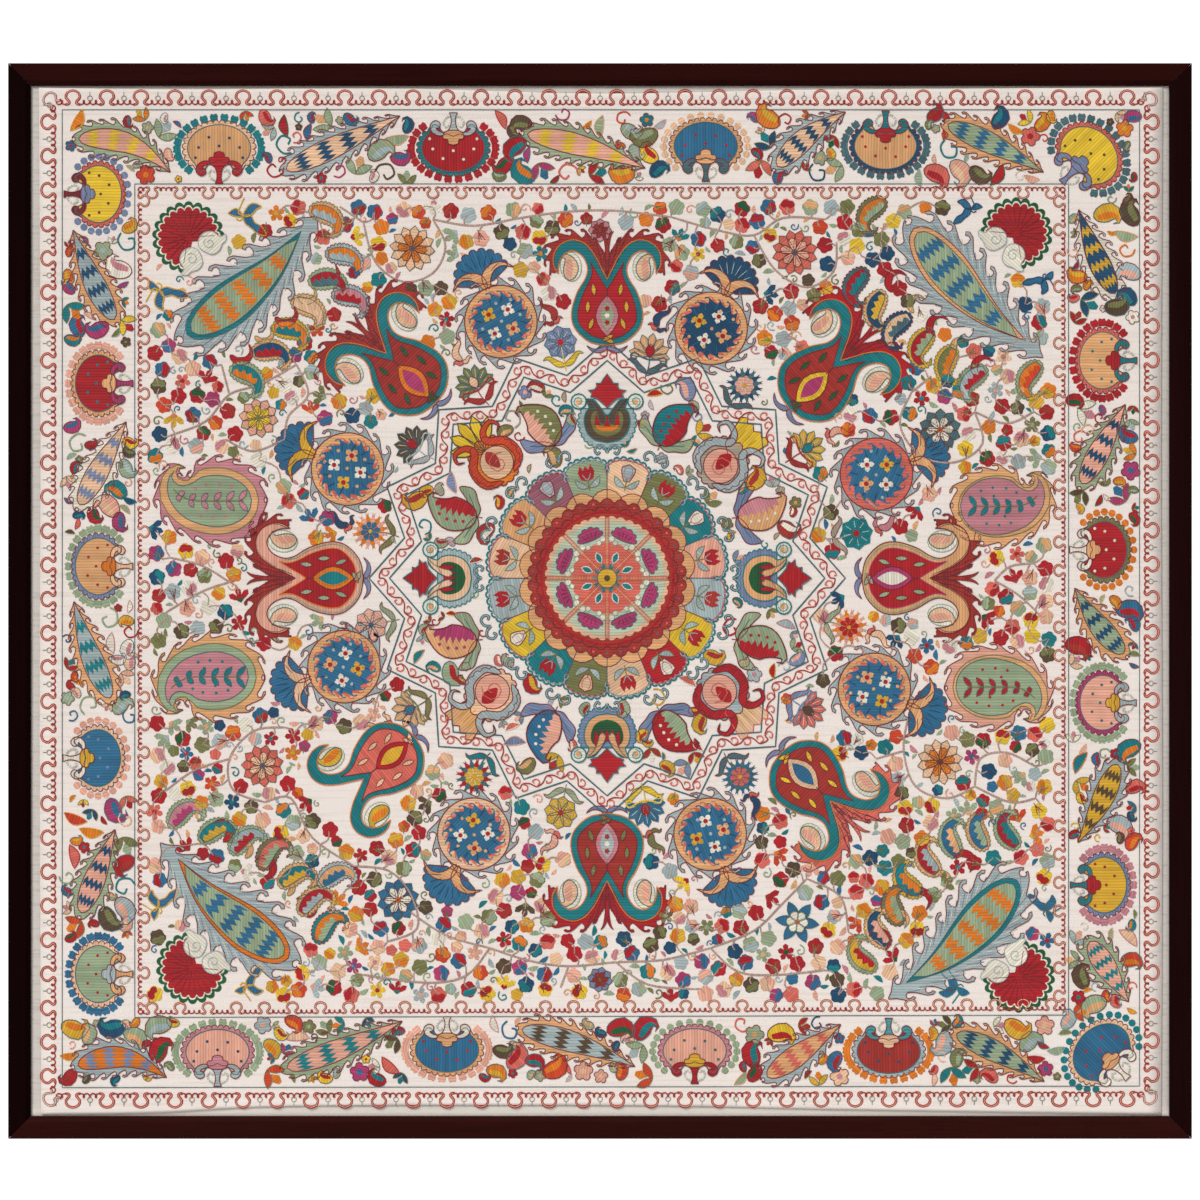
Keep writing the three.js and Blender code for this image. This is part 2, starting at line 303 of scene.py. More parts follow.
class Needlework:
    """Filled patches and stitched lines, gathered in millimetres and then laid on the cloth"""

    STRAIGHT, ROUND, ALONG = 0, 1, 2

    def __init__(self, seed=1):
        self.points, self.faces, self.colours, self.runs = [], [[], [], []], [[], [], []], []
        self.count = 0
        self.dice = random.Random(seed)

    def _lift(self):
        return HAIR * (len(self.points) % 37)

    def _add(self, points, runs, faces_by_kind, colour):
        shade = 1 + self.dice.uniform(-0.07, 0.07)
        for kind, faces in enumerate(faces_by_kind):
            self.faces[kind].append(np.asarray(faces, int).reshape(-1, 3) + self.count)
            self.colours[kind].append((colour, shade, len(self.faces[kind][-1])))
        self.points.append(points)
        self.runs.append(runs)
        self.count += len(points)

    def fill(self, spot, outline, colour, level=0, run=0, around=None):
        """A patch of couched silk. Its threads run at so many degrees, or in rings about a point"""
        points = refined(without_doubles(spot(outline), True), True)
        if len(points) < 3:
            return
        points = anticlockwise(points)
        n = len(points)
        inside, triangles = triangles_within(points)
        top = FILL_HEIGHT + LEVEL_STEP * level + self._lift()
        inset = offset(points, -BEVEL)
        low = in_space(points, -STITCH_DEPTH)
        rim = in_space(inset, top)
        lower = in_space(inside, -STITCH_DEPTH)
        upper = in_space(inside, top)
        places = np.concatenate([low, rim, lower, upper])
        ring = np.arange(n)
        after = np.roll(ring, -1)
        wall = np.concatenate([
            np.stack([ring, after, after + n], 1), np.stack([ring, after + n, ring + n], 1)
        ])
        floor_faces = np.where(triangles < n, triangles, triangles + n)[:, ::-1]
        top_faces = np.where(triangles < n, triangles + n, triangles + n + len(inside))
        if around is None:
            turn = spot.turn + (-run if spot.flip else run)
            across = polar(1, turn + 90)
            run_value = (across.real, across.imag, self.STRAIGHT)
        else:
            centre = complex(spot(around))
            run_value = (centre.real * MM, centre.imag * MM, self.ROUND)
        self._add(places, np.tile(run_value, (len(places), 1)), (floor_faces, wall, top_faces), colour)

    def line(self, spot, path, colour, width=2.0, level=0, closed=False):
        """A line of chain stitch"""
        points = refined(without_doubles(spot(path), closed), closed)
        n = len(points)
        if n < 2:
            return
        side = 1j * directions(points, closed)
        half = width * spot.size ** 0.5 / 2
        if not closed:
            side[0] *= 0.7
            side[-1] *= 0.7
        foot = -STITCH_DEPTH if level == 0 else FILL_HEIGHT + LEVEL_STEP * (level - 1) - 0.1
        top = FILL_HEIGHT + LEVEL_STEP * level + LINE_HEIGHT + self._lift()
        places = np.concatenate([
            in_space(points - side * half, foot), in_space(points - side * half * CROWN, top),
            in_space(points + side * half * CROWN, top), in_space(points + side * half, foot),
        ])
        steps = np.abs(np.diff(np.append(points, points[0])))
        along = np.concatenate([[0], np.cumsum(steps)[:-1]]) * MM
        runs = np.tile(np.stack([along, along * 0, along * 0 + self.ALONG], 1), (4, 1))
        ring = np.arange(n if closed else n - 1)
        after = (ring + 1) % n
        strips = []
        for first, second in ((0, 1), (1, 2), (2, 3), (3, 0)):
            a, b = ring + first * n, after + first * n
            c, d = after + second * n, ring + second * n
            strips.append(np.concatenate([np.stack([a, b, c], 1), np.stack([a, c, d], 1)]))
        ends = []
        if not closed:
            last = n - 1
            ends = [[0, n, 2 * n], [0, 2 * n, 3 * n],
                    [last, last + 2 * n, last + n], [last, last + 3 * n, last + 2 * n]]
        wall = np.concatenate([strips[0], strips[2], np.array(ends, int).reshape(-1, 3)])
        self._add(places, runs, (strips[3], wall, strips[1]), colour)

    def edged(self, spot, outline, colour, edge, level=0, width=1.9, run=0, around=None):
        """A patch with a line of chain stitch round it"""
        self.fill(spot, outline, colour, level, run, around)
        self.line(spot, outline, edge, width, level, closed=True)

    def finished(self, name, silks, slot, material):
        """The stitches as one mesh that rides with the cloth"""
        points = np.concatenate(self.points)
        faces = np.concatenate([part for kind in self.faces for part in kind])
        tones = []
        for kind in self.colours:
            for colour, shade, amount in kind:
                tone = np.append(np.array(silks[colour]) * shade, 1)
                tones.append(np.repeat(tone[None, :], amount * 3, 0))
        runs = np.concatenate(self.runs)
        mesh = bpy.data.meshes.new(name)
        mesh.from_pydata(points, [], faces)
        silk = mesh.color_attributes.new("silk_colour", "FLOAT_COLOR", "CORNER")
        silk.data.foreach_set("color", np.concatenate(tones).astype(np.float32).ravel())
        thread = mesh.attributes.new("thread_run", "FLOAT_VECTOR", "POINT")
        thread.data.foreach_set("vector", runs.astype(np.float32).ravel())
        flat = points[faces.ravel()][:, [0, 2]]
        low, high = flat.min(0), flat.max(0)
        baked = mesh.uv_layers.new(name="OFBake")
        share = 0.01 + 0.98 * (flat - low) / (high - low).max()
        baked.data.foreach_set("uv", share.astype(np.float32).ravel())
        mesh.update()
        piece = bpy.data.objects.new(name, mesh)
        bpy.context.scene.collection.objects.link(piece)
        mesh.materials.append(material)
        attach(piece, "root")
        return piece


# Outlines that the motifs are made of, in millimetres, each with its foot or middle at 0

def circle(radius, steps=14):
    return radius * np.exp(2j * np.pi * np.arange(steps) / steps)


def oval(wide, high):
    unit = circle(1, 16)
    return unit.real * wide / 2 + 1j * unit.imag * high / 2


def arc(radius, start, end, steps=10, middle=0):
    """Points on an arc, from one angle to another in degrees"""
    return middle + radius * np.exp(1j * np.radians(np.linspace(start, end, steps + 1)))


def scallops(radius, lobes, depth, steps=4):
    """A disc with round lobes at its edge"""
    angle = 2 * np.pi * np.arange(lobes * steps) / (lobes * steps)
    return (radius - depth + depth * np.abs(np.sin(lobes * angle / 2)) ** 0.7) * np.exp(1j * angle)


def leaf(length, width, bend=0, steps=6):
    """A leaf that points both ways, from 0 up to length"""
    t = np.arange(1, steps) / steps
    belly = np.sin(np.pi * t) ** 0.9 * width / 2
    lean = bend * np.sin(np.pi * t)
    up = 1j * length * t
    return np.concatenate([[0], lean + belly + up, [1j * length], (lean - belly + up)[::-1]])


def petal(length, width, steps=8, neck=0.35):
    """A petal with a narrow foot at 0 and a round end"""
    t = np.linspace(0, 1, steps)
    half = width / 2 * (neck + (1 - neck) * np.sin(np.pi * t / 2)) * np.sqrt(1 - t ** 6)
    up = 1j * length * t
    return np.concatenate([half[:-1] + up[:-1], [1j * length], (up - half)[:-1][::-1]])


def star(outer, inner, points, turn=90):
    """A star's outline, with its first point at the turn"""
    angle = np.radians(turn) + np.pi * np.arange(2 * points) / points
    return np.where(np.arange(2 * points) % 2 == 0, outer, inner) * np.exp(1j * angle)


def strip(path, halves):
    """A strip about a line, half as wide on each side as the halves say"""
    path = np.asarray(path, complex)
    halves = np.broadcast_to(halves, path.shape)
    side = 1j * directions(path, False) * halves
    return np.concatenate([path - side, (path + side)[::-1]])


def tapered(path, wide, blunt=0.15):
    """A strip that is widest near its start and comes to a point"""
    t = np.linspace(0, 1, len(path))
    swell = np.minimum(t / blunt, 1) ** 0.5 * (1 - t ** 1.6)
    return strip(path, wide / 2 * swell)


def teeth(path, reach, pitch, side=1, hook=1.0, even=False):
    """A line of flames along a path, which curl over the way the path runs"""
    share, length = shares(path)
    count = max(1, round(length / pitch))
    way = directions(path, False)
    shape_along = np.array([0, 0.34, 0.58, 0.78, 0.95, 1.04, 1.0, 0.93, 0.86, 0.84, 0.94])
    shape_along = shape_along + hook * np.array([0, 0.02, 0.05, 0.1, 0.2, 0.26, 0.2, 0.12, 0.04, 0.01, 0])
    shape_out = np.array([0.04, 0.26, 0.58, 0.9, 1.0, 0.84, 0.66, 0.76, 0.7, 0.36, 0.08]) * reach
    t = np.minimum((np.arange(count)[:, None] + shape_along[None, :]) / count, 1)
    spread = np.sin(np.pi * np.clip((np.arange(count) + 0.5) / count, 0.06, 0.94)) * 1.7
    height = 0.4 + 0.6 * np.minimum(spread, 1) if not even else np.ones(count)
    height = height * np.array([1, 0.78, 0.92])[np.arange(count) % 3]
    out = (shape_out[None, :] * height[:, None]).ravel()
    t = t.ravel()
    middle = np.interp(t, share, path)
    turn = np.interp(t, share, way)
    return np.append(middle + side * 1j * turn * out, path[-1])


def spiral(turns, start, end, first):
    """A line that winds in from one radius to another, with eight steps to a turn"""
    t = np.linspace(0, 1, round(turns * 8) + 1)
    return (start + (end - start) * t) * np.exp(1j * (np.radians(first) + 2 * np.pi * turns * t))


class Form:
    """A long shape about a bent middle line: round at its start, and thinned out towards its end,
    the sooner the smaller slim is"""

    def __init__(self, spine, wide, belly=0.32, steps=8, slim=0):
        self.spine, self.slim = spine, slim
        self.path = curve(spine, steps=steps)
        self.share, _ = shares(self.path)
        self.way = directions(self.path, False)
        self.wide, self.belly = wide, belly

    def half(self, along):
        """Half the width, so far along from 0 to 1"""
        along = np.asarray(along, float)
        head = np.sqrt(np.clip(1 - (1 - np.minimum(along / self.belly, 1)) ** 2, 0, 1))
        past = np.clip((along - self.belly) / (1 - self.belly), 0, 1)
        tail = ((1 + np.cos(np.pi * past ** self.slim)) / 2) ** 0.9 if self.slim else (1 - past ** 1.5) ** 1.1
        return self.wide / 2 * head * tail

    def at(self, along, across=0.0):
        """The point so far along, and so far across from -1 on the right to 1 on the left"""
        along = np.asarray(along, float)
        middle = np.interp(along, self.share, self.path)
        way = np.interp(along, self.share, self.way)
        return middle + 1j * way * self.half(along) * across

    def side(self, across, first=0.0, last=1.0, steps=14):
        """A line along the shape, with its steps closer together at the round end"""
        t = first + (last - first) * np.linspace(0, 1, steps + 1) ** 1.35
        return self.at(t, across)

    def outline(self, across=1.0, first=0.0, last=1.0, steps=14):
        right, left = self.side(-across, first, last, steps), self.side(across, first, last, steps)
        return np.concatenate([right, left[::-1][1:]])

    def band(self, first, last, across=1.0, points=0, bite=0.0):
        """The part between two places along, with its two ends cut in zigzags"""
        edge = np.linspace(-across, across, points * 2 + 1)
        zigzag = np.where(np.arange(points * 2 + 1) % 2 == 0, -bite, bite)
        low, high = self.at(first + zigzag, edge), self.at(last + zigzag, edge)
        right = self.at(np.linspace(first - bite, last - bite, 4)[1:-1], -across)
        left = self.at(np.linspace(last - bite, first - bite, 4)[1:-1], across)
        return np.concatenate([low[:1], right, high, left, low[1:][::-1]])


def bumps(path, reach, pitch, steps=4):
    """A line of round scallops along a path"""
    share, length = shares(path)
    count = max(1, round(length / pitch))
    t = np.linspace(0, 1, count * steps + 1)
    way = directions(path, False)
    middle = np.interp(t, share, path)
    turn = np.interp(t, share, way)
    return middle + 1j * turn * reach * np.abs(np.sin(np.pi * count * t)) ** 0.7


def mirrored(half):
    """A closed outline from its right half, given from the bottom to the top"""
    half = np.asarray(half, complex)
    return np.concatenate([half, -half.conj()[::-1]])


# The rosette in the middle, the star round it, and what lies between them

ROSETTE = 9 + 29j
ROSETTE_PETALS = (  # anticlockwise from the one left of the top: the silks of the ground and the bud
    "sage crimson", "mauve mist", "tan crimson", "peach brick",
    "mist crimson", "yellow cream", "teal crimson", "olive peach",
    "peach crimson", "crimson cream", "yellow crimson", "mist brick",
    "salmon crimson", "teal cream", "olive crimson", "peach mist",
)


def bud(work, spot, colour, level):
    """A tulip bud on a short stem with two leaves"""
    for side in (-1, 1):
        work.edged(spot.inner(-6j, -side * 52), leaf(15, 5.5, side * 2), "mist", "olive", level, 1.0)
    work.line(spot, [-9j, 3j], "olive", 1.4, level)
    if colour in ("mist", "cream", "peach"):
        work.edged(spot, petal(16, 15, 6), colour, "maroon", level, 1.2)
        work.line(spot, curve([-3 + 13j, -4 + 7j, 2j, 4 + 7j, 3 + 13j], steps=3), "rose", 1.1, level + 1)
    else:
        work.fill(spot, mirrored([0, 6 + 2j, 8 + 9j, 5 + 16j, 2.6 + 11j, 0 + 15j]), colour, level + 1)
        work.line(spot, curve([-4 + 7j, 1j, 4 + 7j], steps=3), "mist", 1.2, level + 2)


def rosette(work):
    for index, silks in enumerate(ROSETTE_PETALS):
        ground, flower = silks.split()
        spot = on_ring(ROSETTE, 96, 101.25 + 22.5 * index)
        side = [19.3, 23.5 + 22j, 26.6 + 38j, 24.5 + 47j, 14 + 53.5j, 55j]
        outline = mirrored(curve(side, steps=3))
        work.fill(spot, outline, ground, 0, run=20 * (index % 3) - 20)
        work.line(spot, outline, "maroon" if index % 2 else "slate", 1.3, 0, closed=True)
        edge = curve([26.8 + 36j, 25 + 48j, 14 + 55j, 56.5j, -14 + 55j, -25 + 48j, -26.8 + 36j])
        work.line(spot, bumps(edge, -2.8, 8.5), "teal", 2.8, 0)
        work.line(spot, bumps(edge - 2.6j, -2.2, 7.5), "rose" if index % 2 else "mist", 1.6, 1)
        bud(work, spot.inner(29j, 0, 1.35), flower, 1)
    for index in range(18):
        spot = on_ring(ROSETTE, 88, 20 * index + 10)
        work.edged(spot, np.append(arc(20.5, -12, 192, 9, 4j), 0), "tan", "maroon", 1, 1.2, around=0)
    middle = Spot(ROSETTE)
    for radius, first in ((101, 0), (91, 5.3)):
        work.edged(middle.inner(0, first), scallops(radius, 34, 6), "brick", "maroon", 2, 1.5, around=0)
    work.line(middle, circle(84, 48), "crimson", 3.4, 3, True)
    for index in range(34):
        spot = on_ring(ROSETTE, 95, 360 / 34 * (index + 0.5))
        work.fill(spot, circle(2, 7), "slate" if index % 3 else "coral", 3)
    work.fill(middle, scallops(79.5, 40, 3, 3), "peach", 3, around=0)
    work.fill(middle, circle(73.5, 40), "celadon", 4, around=0)
    work.fill(middle, scallops(46, 24, 2.5, 3), "coral", 5, around=0)
    for index in range(8):
        spot = on_ring(ROSETTE, 46, 22.5 + 45 * index)
        edge = bumps(arc(14.5, -12, 192, 14), -3, 8)
        fan = np.concatenate([edge.real + 1j * (9 + 0.78 * edge.imag), [-5 + 5j, 5 + 5j]])
        work.edged(spot, fan, "magenta", "slate", 5, 1.5)
        for side in (-1, 1):
            for place, radius in ((14 + 2j, 4), (7.5 - 1j, 3.2)):
                dot = spot.inner(side * place.real + 1j * place.imag)
                work.edged(dot, circle(radius, 8), "cream", "sage", 6, 1)
        for x in (-9, -3, 3, 9):
            work.line(spot, [x * 0.6 + 8j, x + (17 - abs(x) * 0.4) * 1j], "maroon", 1.0, 6)
        work.edged(on_ring(ROSETTE, 20, 22.5 + 45 * index), leaf(15, 7.6), "teal", "cream", 6, 1.5)
        spoke = on_ring(ROSETTE, 12, 45 * index)
        for side in (-2.1, 2.1):
            work.line(spoke, [side, side + 66j], "coral", 1.5, 6)
        work.line(spoke, [0, 64j], "tan", 1.4, 6)
        work.line(on_ring(ROSETTE, 16, 22.5 + 45 * index), [0, 4j], "mustard", 1.4, 6)
    for index in range(10):
        work.fill(on_ring(ROSETTE, 15.5, 36 * index), circle(3.6, 8), "teal", 7)
    work.edged(middle, circle(12.5, 16), "mustard", "slate", 7, 1.6, around=0)
    work.fill(middle, circle(4.4, 8), "brown", 8)
    for index in range(16):
        spot = on_ring(ROSETTE, 159, 22.5 * index, 1.25)
        for side in (-1, 1):
            curl = curve([0, 3 * side + 6j, 9 * side + 7.5j, 12.5 * side + 3j, 10 * side - 1.5j,
                          7 * side + 1j], steps=4)
            work.line(spot, curl, "slate", 3.8, 0)
            work.line(spot, curl, "mist", 1.3, 1)


STAR_POINTS = 16
STAR_OUTER = (302, 262)  # the outer line's points and the corners between them, from the middle
STAR_INNER = (276, 240)


def star_line(radii):
    """One of the star's two lines, from its points' distance and its corners'"""
    return np.array([polar(radii[i % 2], 90 + 11.25 * i) for i in range(STAR_POINTS * 2)])


def star_band(work):
    middle = Spot(ROSETTE)
    for radii in (STAR_OUTER, STAR_INNER):
        work.line(middle, star_line(radii), "slate", 2.3, 0, closed=True)
    centre = (star_line(STAR_OUTER) + star_line(STAR_INNER)) / 2
    for start, end in zip(centre, np.roll(centre, -1)):
        length, turn = abs(end - start), bearing(end - start)
        spot = Spot(ROSETTE + start, turn)
        scrolls = 4
        pitch = length / scrolls
        wave = []
        for part in range(scrolls):
            side = 1 if part % 2 == 0 else -1
            foot = pitch * part
            wave += [foot, foot + 0.3 * pitch + side * 4.5j, foot + 0.75 * pitch + side * 3j]
            curl = curve([foot + 0.3 * pitch + side * 4.5j, foot + 0.62 * pitch + side * 0.5j,
                          foot + 0.48 * pitch - side * 4.6j, foot + 0.12 * pitch - side * 4.2j,
                          foot + 0.2 * pitch - side * 1.0j], steps=3)
            work.line(spot, curl, "coral", 1.9, 0)
        work.line(spot, curve(wave + [length], steps=3), "brick", 1.9, 0)


def cup(work, spot, index, rim, band, heart):
    """A tulip cup with two volutes and a spade-shaped flower in its mouth"""
    shell = curve([-38j, 17 - 35j, 29 - 25j, 35 - 8j, 34 + 4j, 29 + 12j], steps=4)
    work.edged(spot, mirrored(bumps(shell, -2.4, 6.6)), rim, "teal", 0, 1.8)
    body = curve([-31j, 15 - 28j, 25 - 19j, 29 - 5j, 27 + 7j, 23 + 13j, 27 + 24j], steps=4)
    notch = curve([27 + 24j, 17 + 23j, 9 + 14j, 4j + 2], steps=3)
    work.edged(spot, mirrored(np.concatenate([body, notch[1:]])), band, "teal", 1, 1.8)
    core = curve([-24j, 11 - 21j, 18 - 14j, 21 - 3j, 19 + 6j, 13 + 9j, 6 + 5j, 0], steps=3)
    work.fill(spot, mirrored(core), heart, 2)
    if index % 4 == 0:
        work.fill(spot, mirrored([-17j, 7 - 17j, 14 - 13j, 16 - 4j, 10 - 10j, -10j]), "orange", 3)
        for x, low, high in ((-12, -9, 8), (0, -11, 4), (12, -9, 8)):
            work.fill(spot, [x - 4.5 + low * 1j, x + 4.5 + low * 1j, x * 1.2 + high * 1j], "crimson", 4)
    else:
        flame = [-11j, 4 - 3j, 6 - 12j, 11 - 3j, 15 - 11j, 17 + 3j, 14 + 12j, 6 + 7j, 3j]
        work.edged(spot, mirrored(flame), "crimson", "maroon", 3, 1.0)
    for side in (-1, 1):
        tongue = tapered(curve([side * 5 - 7j, side * 8 + 5j, side * 15 + 17j, side * 25 + 25j], steps=4), 9)
        work.edged(spot, tongue, band, "slate", 4, 1.1)
        around = spot.inner(side * 36 + 21j)
        work.edged(around, circle(9.5, 12), "cream", "teal", 3, 2.2)
        turn = spiral(1.0, 7, 3, -90)
        work.line(around, side * turn.real + 1j * turn.imag, "cyan", 1.5, 4)
        work.fill(around.inner(-1j), circle(4.2, 8), "tan", 4)
    spade = [13j, 6 + 19j, 12 + 24j, 21 + 27j, 19 + 31j, 24 + 35j, 16 + 36j, 13 + 40j, 14 + 44j,
             8 + 44j, 5 + 49j, 56j]
    work.edged(spot, mirrored(spade), "crimson", "teal", 3, 1.6)


def swirl_blossom(work, spot, ragged, body, ring, heart, fan, fan_edge):
    """A round blossom with two thick volutes and a fan of petals in the star's point"""
    if ragged:
        top = [13 + 18j, 17 + 34j, 21 + 50j, 15 + 55j, 11 + 50j, 6 + 54j, 0 + 49j]
        work.edged(spot, mirrored(np.concatenate([[10j], top])), fan, fan_edge, 0, 1.6, run=90)
        for side in (-8, 0, 8):
            work.line(spot, [side * 0.7 + 24j, side + 44j], "mustard", 1.3, 1)
    else:
        for turn, length in ((-46, 40), (-23, 44), (0, 46), (23, 44), (46, 40)):
            work.edged(spot.inner(14j, turn), petal(length, 14, 6, 0.15), fan, fan_edge, 0, 1.9, run=90)
    disc = scallops(30, 18, 2.6, 3)
    work.edged(spot, disc, body, "maroon", 1, 1.6, around=0)
    work.edged(spot.inner(1 - 3j), circle(19, 18), heart, "maroon", 2, 1.3, around=0)
    work.line(spot.inner(2 - 5j), spiral(1.3, 13, 3, 30), "coral", 1.4, 3)
    for side in (-1, 1):
        path = curve([side * 8 - 24j, side * 25 - 14j, side * 25 + 8j, side * 10 + 22j,
                      side * 14 + 33j, side * 27 + 36j, side * 32 + 27j, side * 25 + 22j], steps=4)
        band = tapered(path, 11, 0.2)
        work.edged(spot, band, ring, "maroon", 2, 1.4)
    work.fill(spot, curve([14j, 7 + 4j, -10j, -8 + 4j], True, 4), "crimson" if ragged else "brick", 3)


CUPS = ("mist brown olive", "mist peach green", "lavender tan green", "lavender tan green")
# Angle, distance, size, whether the fan is ragged, then the silks of the disc, the volutes, the heart,
# the fan and its edge
BLOSSOMS = (
    (134, 206, 1.12, False, "orange vermilion peach yellow brown"),
    (45, 206, 1.16, True, "taupe mist salmon yellow maroon"),
    (225, 208, 1.16, True, "peach mist salmon tan maroon"),
    (315, 206, 1.16, True, "mist crimson salmon peach coral"),
)
HALF_LEAVES = (  # by angle: the two halves' silks, how far it leans, and whether it is mirrored
    (22.5, "tan rose", -60, True), (67.5, "teal crimson", -18, False),
    (112.5, "olive salmon", 22, True), (157.5, "sage crimson", 62, False),
    (202.5, "tan magenta", -70, False), (247.5, "steel salmon", -26, True),
    (292.5, "crimson sage", 24, True), (337.5, "sage crimson", 68, False),
)
STAR_SILKS = (
    "crimson mustard", "lavender salmon", "sage crimson", "olive tan", "brick cream",
    "mustard brick", "mist rose", "coral cream", "teal tan", "taupe sage",
)


def half_leaf(work, spot, flip, left, right):
    """A fat leaf in two silks with a toothed seam, standing on two wings"""
    spot = spot.inner(flip=flip)
    for side in (-1, 1):
        wing = curve([0, side * 9 + 6j, side * 20 + 9j, side * 34 + 16j, side * 33 + 5j, side * 28 - 1j,
                      side * 17 - 3j, side * 8 - 5j], True, 3)
        foot = spot.inner(-33j, side * 12, 1.25)
        work.edged(foot, wing, "lavender" if flip else "sage", "maroon", 0, 1.5)
        work.line(foot, [side * 8 + 1j, side * 26 + 6j], "slate", 1.0, 1)
    form = Form([-33j, -12j, 2 + 8j, 10 + 24j, 19 + 33j, 26 + 30j, 25 + 23j], 46, 0.4, slim=0.8)
    work.fill(spot, form.outline(1.0, steps=16), left, 1, run=25)
    t = np.linspace(0.03, 0.72, 15)
    seam = form.at(t, -0.05 + 0.24 * np.where(np.arange(15) % 2 == 0, -1, 1) * np.sin(np.pi * t))
    work.fill(spot, np.concatenate([form.at(t, -0.96), seam[::-1]]), right, 2, run=-15)
    work.line(spot, form.outline(1.0, steps=16), "maroon", 1.9, 2, closed=True)
    for along in (0.2, 0.32, 0.44, 0.56):
        work.fill(spot.inner(complex(form.at(along, 0.4))), circle(2.6, 7), "cream" if flip else right, 3)
    work.line(spot.inner(-41j), [0, 8j], "maroon", 1.8, 0)


def within_star(work):
    for index, silks in enumerate(CUPS):
        cup(work, on_ring(ROSETTE, 203, 90 * (index + 1)), index, *silks.split())
    for angle, distance, size, ragged, silks in BLOSSOMS:
        swirl_blossom(work, on_ring(ROSETTE, distance, angle, size), ragged, *silks.split())
    for degrees, silks, lean, flip in HALF_LEAVES:
        half_leaf(work, on_ring(ROSETTE, 212, degrees, 0.93, lean / 4), flip, *silks.split())
    star_filling(work)


def star_filling(work):
    """Small flowers, leaves and curls between the cups, the blossoms and the fat leaves"""
    dice = random.Random(19)
    places = []
    for index in range(16):
        spot = on_ring(ROSETTE, 206, 22.5 * index)
        if index % 4 == 0:
            places += [(spot(0), 38), (spot(34j), 24), (spot(-36 + 21j), 11), (spot(36 + 21j), 11)]
        elif index % 4 == 2:
            places += [(spot(0), 37), (spot(-28 + 34j), 13), (spot(28 + 34j), 13), (spot(42j), 19)]
        else:
            places += [(spot(2j), 29), (spot(-24 - 26j), 15), (spot(24 - 26j), 15), (spot(26j), 17)]
    taken = as_circles(places)
    box = (ROSETTE - 270 * (1 + 1j), ROSETTE + 270 * (1 + 1j))
    for needed, most, tries in ((9, 11.5, 6000), (4.6, 8, 12000)):
        found, taken = scattered(
            dice, tries, box, taken, needed, most,
            lambda place: 165 < abs(place - ROSETTE) < star_reach(place, STAR_INNER) - 4 - needed)
        for place, room in found:
            turn = bearing(place - ROSETTE) - 90 + dice.uniform(-70, 70)
            silks = dice.choice(STAR_SILKS).split()
            filler(work, Spot(place, turn, room / 10, dice.random() < 0.5), *silks, dice.randrange(10))


# The eight large tulips and the eight round pomegranates between them

TULIPS = (  # angle, distance, size, then the silks of the rim, body, darts, oval, its heart and the flames
    (90, 337, 1.0, "teal crimson mustard rose sage brick"),
    (134.5, 355, 1.06, "teal brick green orange magenta brick"),
    (180, 352, 1.02, "salmon crimson sage orange teal brick"),
    (219.5, 358, 1.0, "teal coral peach crimson mustard"),
    (270, 341, 1.02, "teal brick olive rose mist crimson"),
    (315, 356, 1.04, "teal brick yellow peach steel coral"),
    (0, 366, 1.02, "tan crimson sage magenta cream brick"),
    (43, 360, 1.06, "teal brick green yellow magenta crimson"),
)


